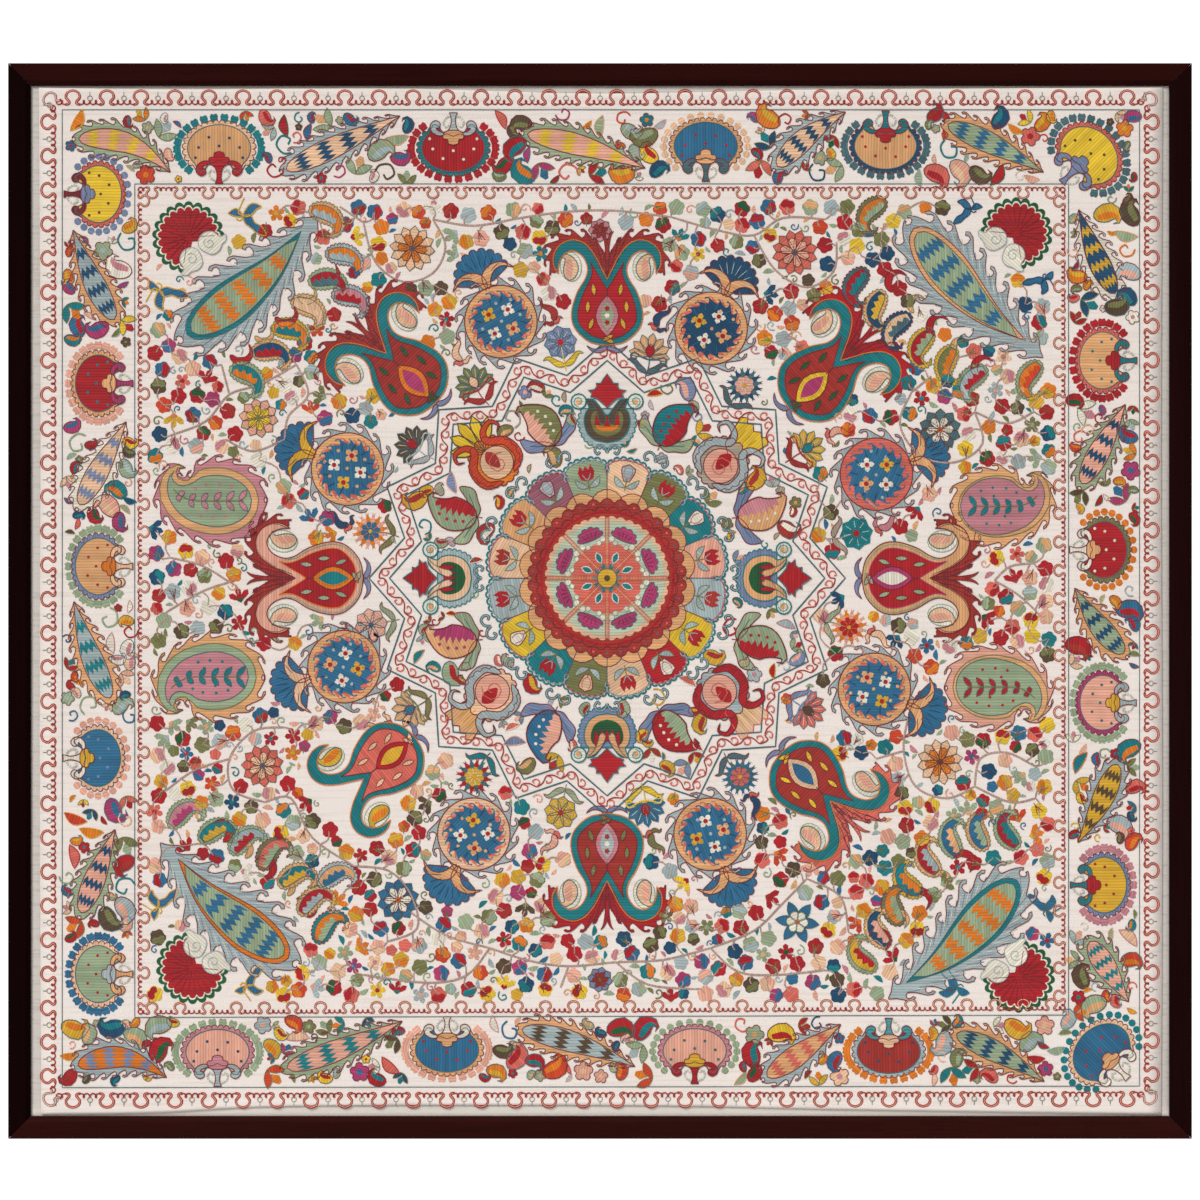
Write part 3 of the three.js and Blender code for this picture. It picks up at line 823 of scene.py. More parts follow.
def tulip(work, spot, rim, body, darts, ring, heart, flames=None):
    """A bulb that opens in two volutes, with a flame-edged margin and a paisley in each curl"""
    lower = [-42j, 23 - 37j, 41 - 20j, 45, 38 + 25j, 27 + 44j, 25 + 58j, 32 + 72j, 44 + 78j,
             55 + 73j, 61 + 62j, 62 + 49j]
    upper = [62 + 49j, 68 + 60j, 67 + 75j, 58 + 87j, 43 + 92j, 28 + 87j, 16 + 73j, 8 + 58j, 42j]
    volute = 45 + 62j
    for side in (False, True):
        half = spot.inner(flip=side)
        back = curve([45j, 5 + 60j, 14 + 77j, 27 + 91j, 44 + 97j, 60 + 92j, 70 + 79j, 72 + 63j, 67 + 50j])
        within_it = volute + (back - volute) * (1 - 5.5 / np.abs(back - volute))
        edge = np.concatenate([teeth(back, 12, 16), within_it[::-1]])
        if flames is not None:
            work.edged(half, edge, flames, "maroon", 0, 1.3)
            for foot, tip in ((46j, 5 + 103j), (3 + 48j, 15 + 96j), (8 + 54j, 24 + 103j)):
                tongue = curve([foot, foot + (tip - foot) * 0.5 - 3, tip - 2 - 8j, tip + 3], steps=4)
                work.edged(half, tapered(tongue, 6.5, 0.4), flames, "maroon", 0, 0.9)
        work.edged(half.inner(46 + 58j, -6), oval(27, 37), "cream", "sage", 0, 1.1)
        paisley(work, half.inner(46 + 55j, 8, 0.72), "peach" if body != "coral" else "mustard",
                "salmon" if body != "coral" else "orange", "slate", 1)
    silhouette = np.concatenate([curve(lower), curve(upper)[1:]])
    work.edged(spot, mirrored(silhouette), rim, "maroon" if rim in ("salmon", "tan") else "orange", 1, 1.5)
    if rim in ("salmon", "tan"):
        for half in (spot, spot.inner(flip=True)):
            work.line(half, curve([z * 0.94 for z in lower[:7]]), "sage", 1.8, 2)
    inside = np.concatenate([
        curve([-34j, 18 - 30j, 34 - 16j, 37, 31 + 22j, 22 + 40j, 19 + 52j, 21 + 63j]),
        curve([21 + 63j, 14 + 52j, 7 + 40j, 29j])[1:],
    ])
    work.edged(spot, mirrored(inside), body, ring if rim in ("salmon", "tan") else "maroon", 2, 1.4, run=0)
    places = ((-16 + 27j, 8), (-25 + 5j, -3), (-23 - 16j, -20), (-6 - 30j, -62), (23 - 16j, 20), (25 + 5j, 3),
              (16 + 27j, -8), (9 - 33j, 62))
    for place, turn in places:
        work.edged(spot.inner(place - 6j, turn), leaf(16, 6, 0, 4), darts, "maroon", 3, 1.2)
    work.line(spot, [30j, 18j], "maroon", 1.8, 3)
    work.edged(spot.inner(-31j), leaf(53, 29), ring, "maroon", 3, 1.3)
    work.edged(spot.inner(-24j), leaf(39, 18), heart, ring, 4, 1.3)
    if ring == "rose":
        for step in range(3):
            dot = spot.inner((-13 + 9 * step) * 1j)
            work.fill(dot, scallops(4, 5, 1.1, 3), "cream" if step % 2 else body, 5)
    for side in (-1, 1):
        foot = tapered(curve([-43j, side * 8 - 48j, side * 18 - 48j, side * 26 - 42j], steps=3), 7, 0.2)
        work.edged(spot, foot, "lavender", "maroon", 0, 1.3)


def paisley(work, spot, outer, inner, edge, level):
    """A small paisley in two silks with its tip curled over"""
    form = Form([-20j, -8j, 3j, 4 + 14j, 11 + 21j, 19 + 19j, 20 + 11j], 26, 0.34, 4, slim=0.9)
    work.edged(spot, form.outline(1, steps=10), outer, edge, level, 1.7)
    t = np.linspace(0.05, 0.62, 7)
    work.fill(spot, np.concatenate([form.at(t, -0.72), form.at(t[::-1], 0.3)]), inner, level + 1, run=30)


POMEGRANATES = (  # angle, distance, then the silks of the ground, the ring and the crown's arms
    (112.5, 352, "steel tan tan"), (157.2, 357, "steel tan mustard"),
    (198.6, 352, "steel tan peach"), (242.5, 366, "steel peach tan"),
    (291.9, 350, "steel tan tan"), (337.4, 367, "steel tan tan"),
    (21.1, 366, "steel coral tan"), (67.4, 343, "navy tan tan"),
)


def small_flower(work, spot, petals, heart, level, radius=7.5):
    for turn in (0, 90, 180, 270):
        work.fill(spot.inner(0, turn + 45), petal(radius, radius * 0.85, 4, 0.5), petals, level)
    work.fill(spot, circle(radius * 0.34, 7), heart, level + 1)


def pomegranate(work, spot, index, ground, ring, arms):
    """A round fruit with a serrated heart full of small flowers, a flamed edge and a fan for its crown"""
    tuft = np.append(bumps(arc(33, 0, 180, 20, 61j), -4, 11), [-12 + 52j, 12 + 52j])
    work.edged(spot, tuft, ground, "maroon", 0, 1.5, run=90)
    for angle in range(20, 161, 20):
        way = polar(1, angle)
        work.line(spot, [14 * way + 60j, 28 * way + 61j], "mist" if ground == "navy" else "navy", 1.2, 1)
    for side in (-1, 1):
        path = [side * 2 + 44j, side * 4 + 58j, side * 14 + 67j, side * 28 + 68j, side * 42 + 58j]
        work.edged(spot, tapered(curve(path, steps=4), 14, 0.3), arms, "maroon", 1, 1.4)
    flames = teeth(arc(47, 80, 440, 72)[:-1], 13, 19, -1, 1.0, True)
    work.edged(spot, flames, "mist", "maroon", 0, 1.5)
    work.edged(spot, circle(46, 40), ring, "maroon", 1, 1.7, around=0)
    serrated = teeth(arc(32, 0, 360, 40), 9, 11.5, -1, 0.8, True)
    work.fill(spot.inner(-1 - 1j, 13 * index), serrated * 1.03, "coral", 2, around=0)
    work.fill(spot.inner(0, 13 * index + 8), serrated, ground, 3, run=8 * index)
    for turn in range(0, 360, 30):
        work.line(spot.inner(0, turn + 10), [24j, 3 + 33j], "navy" if ground != "navy" else "steel", 1.3, 4)
    flowers = ((-11 + 14j, "mustard", 10.5), (14 + 11j, "cream", 10), (-13 - 11j, "cream", 10),
               (11 - 14j, "tan", 10.5))
    for place, colour, radius in flowers:
        small_flower(work, spot.inner(place * cmath.rect(1, index), 20 * index), colour, "crimson", 4, radius)
    for place in (-25, 24j + 3, 26 - 1j, -25j, 1, -22 - 20j, 22 + 21j):
        dot = spot.inner(place * cmath.rect(1, index * 0.9))
        work.fill(dot, circle(2.6, 7), "tan" if index % 2 else "mist", 4)


def great_ring(work_tulips, work_fruit):
    for angle, distance, size, silks in TULIPS:
        tulip(work_tulips, on_ring(ROSETTE, distance, angle, size), *silks.split())
    for index, (angle, distance, silks) in enumerate(POMEGRANATES):
        pomegranate(work_fruit, on_ring(ROSETTE, distance, angle), index, *silks.split())


# Flowers in the star's outer corners

NOTCH_FLOWERS = (  # angle, distance, kind, then the silks of the petals, the heart and the leaves
    (124.3, 303, "fan olive peach brick"), (101.2, 305, "daisy lavender crimson yellow"),
    (79.3, 296, "fan tan crimson slate"), (54.5, 300, "burst navy salmon slate"),
    (33.0, 306, "fan mustard teal brick"), (10.2, 321, "daisy teal crimson taupe"),
    (-11.5, 313, "burst orange crimson sage"), (-33.4, 308, "fan coral brown lavender"),
    (-56.2, 303, "burst steel coral slate"), (-80.6, 300, "fan steel crimson yellow"),
    (-101.2, 303, "daisy mustard crimson sage"), (-123.8, 303, "burst crimson mustard teal"),
    (-146.3, 304, "fan tan steel olive"), (-168.8, 305, "daisy salmon navy sage"),
    (168.8, 306, "burst orange steel olive"), (145.5, 303, "fan brown crimson mist"),
)


def twisted_leaf(work, spot, colour, edge):
    """A leaf that turns over on itself, above a small cup"""
    path = curve([0, 6 + 9j, 3 + 18j, -6 + 27j, -3 + 36j], steps=4)
    work.edged(spot, tapered(path, 13, 0.3), colour, edge, 0, 1.3)
    for side in (-1, 1):
        cup_side = tapered(curve([-2j, side * 5 - 4j, side * 11 + 1j, side * 15 - 3j], steps=3), 7)
        work.edged(spot, cup_side, "coral" if side > 0 else colour, edge, 0, 1.1)


def notch_flower(work, spot, index, kind, petals, heart, leaves):
    work.line(spot, curve([-37j, (index % 3 - 1) * 2 - 22j, -6j], steps=3), leaves, 1.7, 0)
    for side in (-1, 1):
        blade = tapered(curve([-30j, side * 9 - 26j, side * 19 - 17j, side * 26 - 19j], steps=3), 9, 0.3)
        work.edged(spot, blade, leaves, "maroon" if leaves != "yellow" else "olive", 0, 1.1)
    if kind == "daisy":
        for turn in range(0, 360, 45):
            outline = petal(21, 15, 6, 0.2)
            work.edged(spot.inner(0, turn), outline, petals, "slate" if petals != "teal" else "teal", 0, 1.3)
            work.line(spot.inner(0, turn), [8j, 16j], "cream", 1.0, 1)
        work.fill(spot, star(6.5, 3.4, 8), heart, 2)
    elif kind == "burst":
        for turn in range(16):
            outline = np.array([0, 2.7 + 9j, 3.6 + 15j, 1.6 + 19j, 1.9 + 24j, 21j, -1.9 + 24j, -1.6 + 19j,
                                -3.6 + 15j, -2.7 + 9j])
            work.fill(spot.inner(0, turn * 22.5), outline, petals if turn % 2 else ("slate", "salmon")[
                petals == "orange"], 0)
        work.fill(spot, scallops(13, 8, 3), heart, 1, around=0)
        for turn in range(0, 360, 45):
            work.line(spot.inner(0, turn), [4j, 11j], "cream" if index % 2 else petals, 1.3, 2)
        work.fill(spot, circle(3, 7), "mustard", 3)
    else:
        for step in range(-3, 4):
            outline = petal(29 - abs(step), 11, 6, 0.2)
            work.edged(spot.inner(-9j, -step * 29), outline, petals, "slate", 0, 1.4, run=90)
            work.line(spot.inner(-9j, -step * 29), [12j, 24j - abs(step) * 1j], "cream", 0.9, 1)
        work.edged(spot.inner(-11j), leaf(17, 11), heart, "maroon", 2, 1.2)
        for side in (-1, 1):
            curl = curve([-14j, side * 10 - 12j, side * 19 - 8j, side * 23 - 13j, side * 19 - 17j,
                          side * 15 - 14j], steps=3)
            work.line(spot, curl, leaves, 2.4, 1)
    if index % 4 != 3:
        colours = ("peach", "brick", "navy", "olive", "salmon", "rose")
        work_spot = spot.inner((-4 if index % 2 else 4) + 29j, 12 if index % 2 else -12, 0.85, index % 2 == 0)
        twisted_leaf(work, work_spot, colours[index % 6], "maroon")


def notch_ring(work):
    for index, (angle, distance, looks) in enumerate(NOTCH_FLOWERS):
        notch_flower(work, on_ring(ROSETTE, distance, angle), index, *looks.split())


# The corners: long feathered almonds, fans, curled paisleys and leaves

def feathered(work, spot, form, margin, reach, pitch, silk, veins=False):
    """A feathered margin round an almond, with its hooks leaning back from the tip"""
    spine = list(form.spine)
    spine[0] -= margin * (spine[1] - spine[0]) / abs(spine[1] - spine[0])
    wide = Form(spine, form.wide + 2 * margin, form.belly, slim=form.slim)
    flanks = []
    for side in (-1, 1):
        flank = wide.side(side, steps=24)[::-1]
        flanks.append(teeth(flank, reach, pitch, -side))
    outline = np.concatenate([flanks[0], flanks[1][::-1]])
    work.edged(spot, outline, silk, "maroon", 0, 1.5)
    if veins:
        for side in (-1, 1):
            for number, along in enumerate(np.linspace(0.02, 0.9, 26)):
                start = form.at(along, side)
                end = wide.at(max(along - 0.07, 0), side * 1.16)
                work.line(spot, [start + (end - start) * 0.1, end], ("cream", "lavender")[number % 2], 0.9, 1)


def zigzagged(work, form, rim, ground, marks):
    """A corner almond: a rim, and a ground crossed by rows of zigzags"""
    head, second, *others = form.spine
    inner = Form([head + 7 * (second - head) / abs(second - head), second, *others], form.wide * 0.82,
                 form.belly, 10)
    edge = "maroon" if rim != "teal" else "slate"
    work.edged(Spot(), form.outline(steps=18), rim, edge, 1, 1.4)
    work.edged(Spot(), inner.outline(1.0, 0, 0.94, steps=16), ground, edge, 2, 1.0, run=90)
    for index, points in enumerate((5, 5, 5, 3, 3)):
        first = 0.13 + 0.146 * index
        work.fill(Spot(), form.band(first, first + 0.072, 0.738, points, 0.022), marks, 3)


CORNERS = (  # the round end, the tip, the bend, the rim, the ground, the marks
    (-517 + 344j, -379 + 469j, -10, "teal sage orange"),
    (404 + 466j, 540 + 330j, -10, "tan sage steel"),
    (-402 - 447j, -535 - 327j, 10, "orange sage steel"),
    (522 - 360j, 388 - 484j, 10, "teal sage orange"),
)
# The turn, mirrored, then each x + z and the silks of the scallops, the ground and its half
CORNER_PAISLEYS = (
    (-90, False, (-351 + 493j, "orange mist tan"), (-330 + 440j, "orange mist mist"),
     (-352 + 408j, "crimson slate sage"), (-374 + 376j, "peach peach tan"),
     (-398 + 346j, "orange teal mustard"), (-424 + 318j, "navy crimson tan"),
     (-452 + 290j, "teal orange sage"), (-322 + 388j, "rose crimson mist")),
    (135, True, (347 + 499j, "orange sage olive"), (326 + 408j, "crimson teal slate"),
     (350 + 378j, "navy mustard tan"), (379 + 353j, "peach slate navy"),
     (409 + 331j, "crimson sage mustard"), (440 + 308j, "olive orange mustard"),
     (475 + 286j, "mist crimson sage"), (546 + 290j, "orange vermilion sage")),
    (-35, False, (-494 - 293j, "teal mustard sage"), (-457 - 306j, "mist crimson sage"),
     (-423 - 324j, "coral sage olive"), (-393 - 350j, "teal mustard tan"),
     (-370 - 383j, "crimson mist tan"), (-352 - 417j, "orange sage teal"),
     (-343 - 349j, "tan steel mist"), (-535 - 272j, "rose magenta sage")),
    (45, False, (445 - 309j, "steel tan sage"), (417 - 334j, "crimson mist tan"),
     (393 - 363j, "teal orange mustard"), (373 - 395j, "orange sage olive"),
     (354 - 425j, "navy salmon tan"), (335 - 458j, "mustard crimson sage"),
     (480 - 300j, "steel sage tan"), (518 - 300j, "crimson teal sage")),
)
FANS = ((-522 + 461j, 42), (528 + 466j, -42), (-517 - 465j, 138), (531 - 476j, 222))
LEAF_PAIRS = (  # x + z, the turn, the size, mirrored, and the edge's silk
    (-452 + 488j, -72, 1, False, "mustard"), (-558 + 394j, 200, 1, True, "mustard"),
    (470 + 497j, 72, 0.75, True, "navy"), (563 + 408j, 160, 0.75, False, "navy"),
    (-448 - 488j, -95, 0.85, True, "mustard"), (-560 - 388j, 10, 0.9, False, "mustard"),
    (452 - 490j, 95, 0.9, False, "teal"), (566 - 392j, -10, 0.8, True, "slate"),
)


def scalloped_paisley(work, spot, scallop, ground, half):
    """A curled paisley in a scalloped margin, its ground in two silks"""
    spine = [-25j, -12j, 0, 2 + 13j, 9 + 26j, 21 + 33j, 34 + 31j, 40 + 21j, 34 + 13j]
    form = Form(spine, 35, 0.3, 5, slim=0.9)
    rim = form.outline(1, steps=16)
    rim = anticlockwise(without_doubles(rim, True))
    edge = bumps(np.append(rim, rim[0]), -3, 7.2)[:-1]
    work.edged(spot, edge, half, "olive" if half in ("sage", "mustard", "tan") else "maroon", 0, 1.6)
    work.edged(spot, form.outline(0.72, 0.04, 0.8, steps=11), scallop, "slate", 1, 1.2)
    t = np.linspace(0.06, 0.56, 9)
    seam = form.at(t, 0.1 + 0.2 * np.where(np.arange(9) % 2 == 0, -1, 1))
    work.fill(spot, np.concatenate([form.at(t, -0.7), seam[::-1]]), ground, 2, run=30)


def fan(work, spot):
    """A red fan of many petals, open at its foot on two curled white ends"""
    sweep = arc(1, -46, 226, 66)
    for radius, colour, level, lobe in ((46, "green", 0, 5.5), (41, "cream", 1, 5), (38.5, "crimson", 2, 5)):
        edge = bumps(sweep * radius, -lobe, 0.29 * radius, steps=5)
        work.fill(spot, np.append(edge, -8j), colour, level, around=0)
    for index in range(17):
        angle = -38 + 16 * index
        work.line(spot, [polar(5 + index % 2 * 9, angle), polar(37, angle)], "maroon", 1.0, 3)
    for side in (-1, 1):
        shell = spot.inner(side * 17 - 26j, 0, 1, side < 0)
        hook = [-15 + 4j, -8 + 14j, 4 + 16j, 14 + 9j, 17 - 3j, 25 - 6j, 20 - 12j, 12 - 13j, 2 - 17j, -9 - 13j]
        work.edged(shell, curve(hook, True, 3), "cream", "mist", 3, 1.3)
        work.line(shell, spiral(1.2, 9, 2, 90), "mist", 1.3, 4)


def horn(work, spot, colour, edge, size):
    """A small crescent that closes on itself"""
    path = size * curve([-12 - 3j, -4 - 9j, 7 - 7j, 12 + 2j, 8 + 12j], steps=4)
    work.edged(spot, tapered(path, 11 * size, 0.4), colour, edge, 0, 1.2)


def corner_forms(start, end, bend):
    """A corner almond, and the longer one that its feathers follow"""
    way = (end - start) / abs(end - start)
    start = start - way * 9
    spine = [start + (end - start) * along + 1j * way * bend * share
             for along, share in ((0, 0), (0.35, 0.8), (0.7, 1), (1, 0))]
    longer = [*spine[:-1], end + way * 30]
    return Form(spine, 56, 0.34, 10), Form(longer, 58, 0.34, 10)


def corners(work, paisleys):
    for index, (start, end, bend, silks) in enumerate(CORNERS):
        form, longer = corner_forms(start, end, bend)
        feathered(work, Spot(), longer, 7, 19, 25, "mist", veins=True)
        zigzagged(work, form, *silks.split())
        inward = (-45, -135, 45, 135)[index]
        for step in range(5):
            along = 0.12 + 0.2 * step
            place = start + (end - start) * along + polar(62 + 4 * math.sin(math.pi * along), inward)
            looks = ("tan", "olive", 0.9) if step % 2 else ("crimson", "maroon", 1.1)
            horn(work, Spot(place, inward + 40, 1, index % 2 == 1), *looks)
        turn, flip, *row = CORNER_PAISLEYS[index]
        for number, (place, silks) in enumerate(row):
            scalloped_paisley(paisleys, Spot(place, turn + 14 * (number % 3 - 1), 0.7, flip), *silks.split())
    for place, turn in FANS:
        fan(paisleys, Spot(place, turn, 0.9))
    for place, turn, size, flip, edge in LEAF_PAIRS:
        leaf_pair(paisleys, Spot(place, turn, size, flip), "steel", edge)


def leaf_pair(work, spot, ground, edge):
    """Two leaves and a curl on one stalk"""
    work.line(spot, curve([-22 + 8j, -14 + 1j, -6 - 5j, 0, 4 - 6j, 0 - 10j], steps=3), edge, 2.0, 0)
    blade = curve([0, 2 + 9j, 12 + 11j, 20 + 18j, 32 + 20j, 27 + 10j, 18 + 5j, 9 - 1j], True, 3)
    work.edged(spot, blade, ground, edge, 0, 1.9)
    second = curve([0, -8 + 6j, -12 + 16j, -5 + 25j, -3 + 18j, 2 + 9j], True, 3)
    work.edged(spot, second, ground, edge, 1, 1.9)
    work.edged(spot.inner(-1j, 150), leaf(19, 10, 3), ground, edge, 0, 1.9)


# The large paisleys at the sides

SIDE_SPINE = (60, 30 + 1j, 1j, -26, -45 - 10j, -52 - 27j, -46 - 42j, -33 - 41j)  # from its head
# x + z, turn, mirrored, size, width of the rim, then the silks of the margin, the rim, the ground and
# the leaves
SIDE_PAISLEYS = (
    (-493 + 128j, 180, True, 1.0, 9, "rose tan sage rose"),
    (-496 - 97j, 0, False, 1.0, 10, "tan sage rose teal"),
    (510 + 121j, 180, False, 0.93, 3, "tan tan rose teal"),
    (505 - 110j, 0, True, 0.96, 4, "salmon tan sage crimson"),
)
SIDE_DOTS = (  # along and across the ground
    (0.2, 0.6), (0.32, 0.66), (0.45, 0.66), (0.57, 0.6), (0.26, -0.62), (0.38, -0.66), (0.5, -0.64),
    (0.33, 0.36), (0.44, -0.36),
)


def side_forms(rim):
    """A side paisley's rim and the ground within it"""
    head, *body = SIDE_SPINE
    return (Form(SIDE_SPINE, 84, 0.34, 8, slim=1.1),
            Form([head - rim, *body[:-2], body[-2] - 1 + rim * 0.6j], 84 - 2.1 * rim, 0.34, 8, slim=1.1))


def side_paisleys(work):
    for place, turn, flip, size, rim, silks in SIDE_PAISLEYS:
        margin, edge, ground, leaves = silks.split()
        form, within_it = side_forms(rim)
        spot = Spot(place, turn, size, flip)
        feathered(work, spot, form, 7, 10, 22, margin)
        work.edged(spot, form.outline(1.0, steps=22), edge, "olive", 1, 1.4)
        work.edged(spot, within_it.outline(1.0, steps=22), ground, "slate", 2, 1.3)
        work.line(spot, form.at(np.linspace(0.12, 0.72, 9), 0), "olive", 1.6, 3)
        for along in np.linspace(0.16, 0.66, 6):
            start = complex(form.at(along))
            back = bearing(complex(form.at(along - 0.04)) - start) - 90
            for side in (-1, 1):
                blade = spot.inner(start, back + 52 * side)
                work.edged(blade, leaf(18 * (1.15 - along), 7, 0, 4), leaves, "slate", 3, 1.0)
        for along, across in SIDE_DOTS:
            work.fill(spot.inner(complex(within_it.at(along, across))), circle(2.4, 7), leaves, 3)


# The vines that fill the field, and what grows on them

FIELD_HALF_WIDTH, FIELD_LOW, FIELD_HIGH = 571, -506, 506
FIELD_FLOWERS = (  # x + z, radius, lobes, then the silks of the petals, the star within and the heart
    (-238 + 447j, 29, 12, "peach orange slate"), (247 + 442j, 29, 12, "coral salmon slate"),
    (-433 + 232j, 25, 10, "salmon yellow olive"), (-428 - 209j, 27, 11, "coral peach teal"),
    (431 + 217j, 27, 10, "slate cream orange"), (431 - 204j, 29, 12, "peach orange brown"),
    (-256 - 379j, 27, 10, "steel cream orange"), (250 - 407j, 28, 6, "cream steel orange"),
    (0 + 470j, 15, 8, "rose crimson yellow"), (0 - 480j, 16, 8, "lavender crimson yellow"),
)
VINES = (  # each a few places that a stem runs through
    (-300 + 480j, -285 + 430j, -250 + 405j, -212 + 416j, -196 + 450j, -212 + 484j),
    (-212 + 484j, -160 + 476j, -100 + 486j, -40 + 494j, 20 + 495j, 90 + 487j),
    (90 + 487j, 150 + 470j, 195 + 464j, 232 + 486j, 285 + 484j),
    (195 + 464j, 222 + 420j, 262 + 398j, 296 + 418j, 300 + 455j),
    (-300 + 480j, -330 + 500j), (-385 + 300j, -370 + 262j, -395 + 235j, -400 + 205j),
    (-385 + 300j, -430 + 275j, -470 + 262j, -500 + 228j, -545 + 210j),
    (-400 + 205j, -440 + 190j, -475 + 205j),
    (-470 + 262j, -480 + 300j), (-470 + 24j, -505 + 12j, -550 - 14j), (-470 + 24j, -505 + 45j, -545 + 55j),
    (-400 - 160j, -440 - 165j, -470 - 200j, -465 - 240j, -425 - 255j),
    (-470 - 200j, -515 - 215j, -550 - 240j), (-425 - 255j, -392 - 250j, -365 - 300j, -312 - 336j),
    (-312 - 336j, -268 - 342j, -240 - 372j, -232 - 415j, -270 - 432j),
    (-240 - 395j, -195 - 424j, -140 - 440j),
    (-140 - 440j, -90 - 456j, -40 - 463j, 20 - 458j, 80 - 455j, 140 - 440j),
    (140 - 440j, 195 - 418j, 230 - 385j, 262 - 352j), (262 - 352j, 305 - 375j, 315 - 420j),
    (140 - 440j, 175 - 470j, 225 - 474j, 285 - 468j), (500 + 26j, 530 + 8j, 555 - 15j),
    (500 + 26j, 520 + 44j, 550 + 48j),
    (395 + 265j, 380 + 225j, 405 + 185j, 450 + 176j, 485 + 200j, 475 + 240j),
    (475 + 240j, 515 + 225j, 550 + 240j), (395 + 265j, 420 + 285j),
    (390 - 150j, 385 - 190j, 400 - 235j, 440 - 250j, 475 - 235j),
    (475 - 235j, 482 - 200j, 515 - 192j, 552 - 210j),
    (475 - 235j, 520 - 255j, 552 - 250j), (385 - 190j, 350 - 200j),
    (-140 - 440j, -170 - 475j, -220 - 484j, -300 - 474j), (-40 - 463j, -50 - 490j),
    (20 - 458j, 60 - 486j, 120 - 492j), (330 - 60j, 350 - 75j), (336 + 130j, 350 + 118j),
)
BERRY_SILKS = (
    "crimson brick", "crimson teal", "yellow crimson", "navy teal", "sage tan",
    "orange mustard", "steel crimson", "coral crimson", "peach rose", "olive sage",
    "magenta steel", "mist salmon", "teal orange", "salmon peach", "mustard orange",
    "brown olive", "cream rose", "crimson green", "sage mist", "vermilion orange",
)


def star_reach(place, radii):
    """How far out the star's line is in the direction of a place"""
    share = abs(bearing(place - ROSETTE) % 22.5 - 11.25) / 11.25
    return radii[1] + (radii[0] - radii[1]) * share


def as_circles(places):
    """Middles and radii as two arrays"""
    middles, radii = np.array(places, complex).T
    return middles, radii.real


def covering(form, along, least, spot=Spot()):
    """Circles that cover a long shape, none smaller than the least"""
    return [(complex(spot(form.at(t))), max(spot.size * float(form.half(t)), least)) for t in along]


def kept_clear():
    """The circles that the vines leave to the larger motifs, as middles and radii"""
    places = []
    for angle, distance, size, *_ in TULIPS:
        spot = on_ring(ROSETTE, distance, angle, size)
        places += [(spot(-38j), 32), (spot(-8j), 46), (spot(24j), 36), (spot(62j), 15), (spot(98j), 13)]
        for side in (-1, 1):
            places += [(spot(side * 44 + 57j), 32), (spot(side * 40 + 82j), 26), (spot(side * 13 + 82j), 17)]
    for angle, distance, *_ in POMEGRANATES:
        spot = on_ring(ROSETTE, distance, angle)
        places += [(spot(0), 58), (spot(66j), 30), (spot(-24 + 74j), 20), (spot(24 + 74j), 20)]
    for angle, distance, *_ in NOTCH_FLOWERS:
        spot = on_ring(ROSETTE, distance, angle)
        places += [(spot(0), 28), (spot(34j), 12)]
    along = np.linspace(0.04, 1, 14)
    form = Form(SIDE_SPINE, 110, 0.34, 8, slim=1.1)
    for place, turn, flip, size, *_ in SIDE_PAISLEYS:
        places += covering(form, along, 9, Spot(place, turn, size, flip))
    for start, end, bend, _ in CORNERS:
        longer = corner_forms(start, end, bend)[1]
        places += covering(Form(longer.spine, longer.wide + 50, longer.belly), along, 8)
    places += [(place, 21) for row in CORNER_PAISLEYS for place, *_ in row[2:]]
    places += [(place, 49) for place, _ in FANS] + [(place, 25) for place, *_ in LEAF_PAIRS]
    places += [(place, radius + 1) for place, radius, *_ in FIELD_FLOWERS]
    return as_circles(places)


def scattered(dice, tries, box, taken, needed, most, allowed=None):
    """Random free places within a box, each with the room round it. Taken grows with them"""
    low, high = box
    middles, radii = taken
    count = len(middles)
    middles, radii = np.append(middles, np.zeros(tries)), np.append(radii, np.zeros(tries))
    found = []
    for _ in range(tries):
        place = complex(dice.uniform(low.real, high.real), dice.uniform(low.imag, high.imag))
        if allowed and not allowed(place):
            continue
        room = min((np.abs(middles[:count] - place) - radii[:count]).min(), most)
        if room >= needed:
            middles[count], radii[count] = place, room
            count += 1
            found.append((place, room))
    return found, (middles[:count], radii[:count])


def berry(work, spot, flesh, cheek, kind):
    """A round berry of three lobes, with a cheek in another silk and three sepals"""
    work.fill(spot, scallops(10.8, 5, 1.9, 3) * 1j, flesh, 0, run=30 * kind)
    if kind % 3 < 2:
        half = [-8.6 - 1j, -8.4 - 5j, -5 - 8j, -1.5 - 7.6j, 1.5 - 9.4j, 6 - 7.6j, 8.4 - 4j, 8.6,
                4 + 2j, 0, -4 + 2j]
        work.fill(spot.inner(0, 70 * kind), half, cheek, 1)
    if kind % 4 == 3:
        sepals = "maroon" if flesh in ("sage", "mist", "peach", "cream", "yellow", "salmon") else "olive"
        work.line(spot, [-4 - 3j, 9j, 4 - 3j], sepals, 1.3, 1)
        work.line(spot, [-1j, 12j], sepals, 1.3, 1)


def small_bloom(work, spot, petals, heart, kind):
    """A small open flower, seen from the front or the side"""
    if kind % 2:
        for turn in range(0, 360, 72):
            work.fill(spot.inner(0, turn), petal(10.5, 8, 5, 0.3), petals, 0)
        work.fill(spot, circle(3.4, 7), heart, 1)
    else:
        for turn in (-50, 0, 50):
            work.fill(spot.inner(-6j, turn), petal(16, 8.5, 5, 0.3), petals, 0)
        work.fill(spot.inner(-9j), mirrored([0, 4 + 3j, 3 + 7j, 5j]), heart, 1)


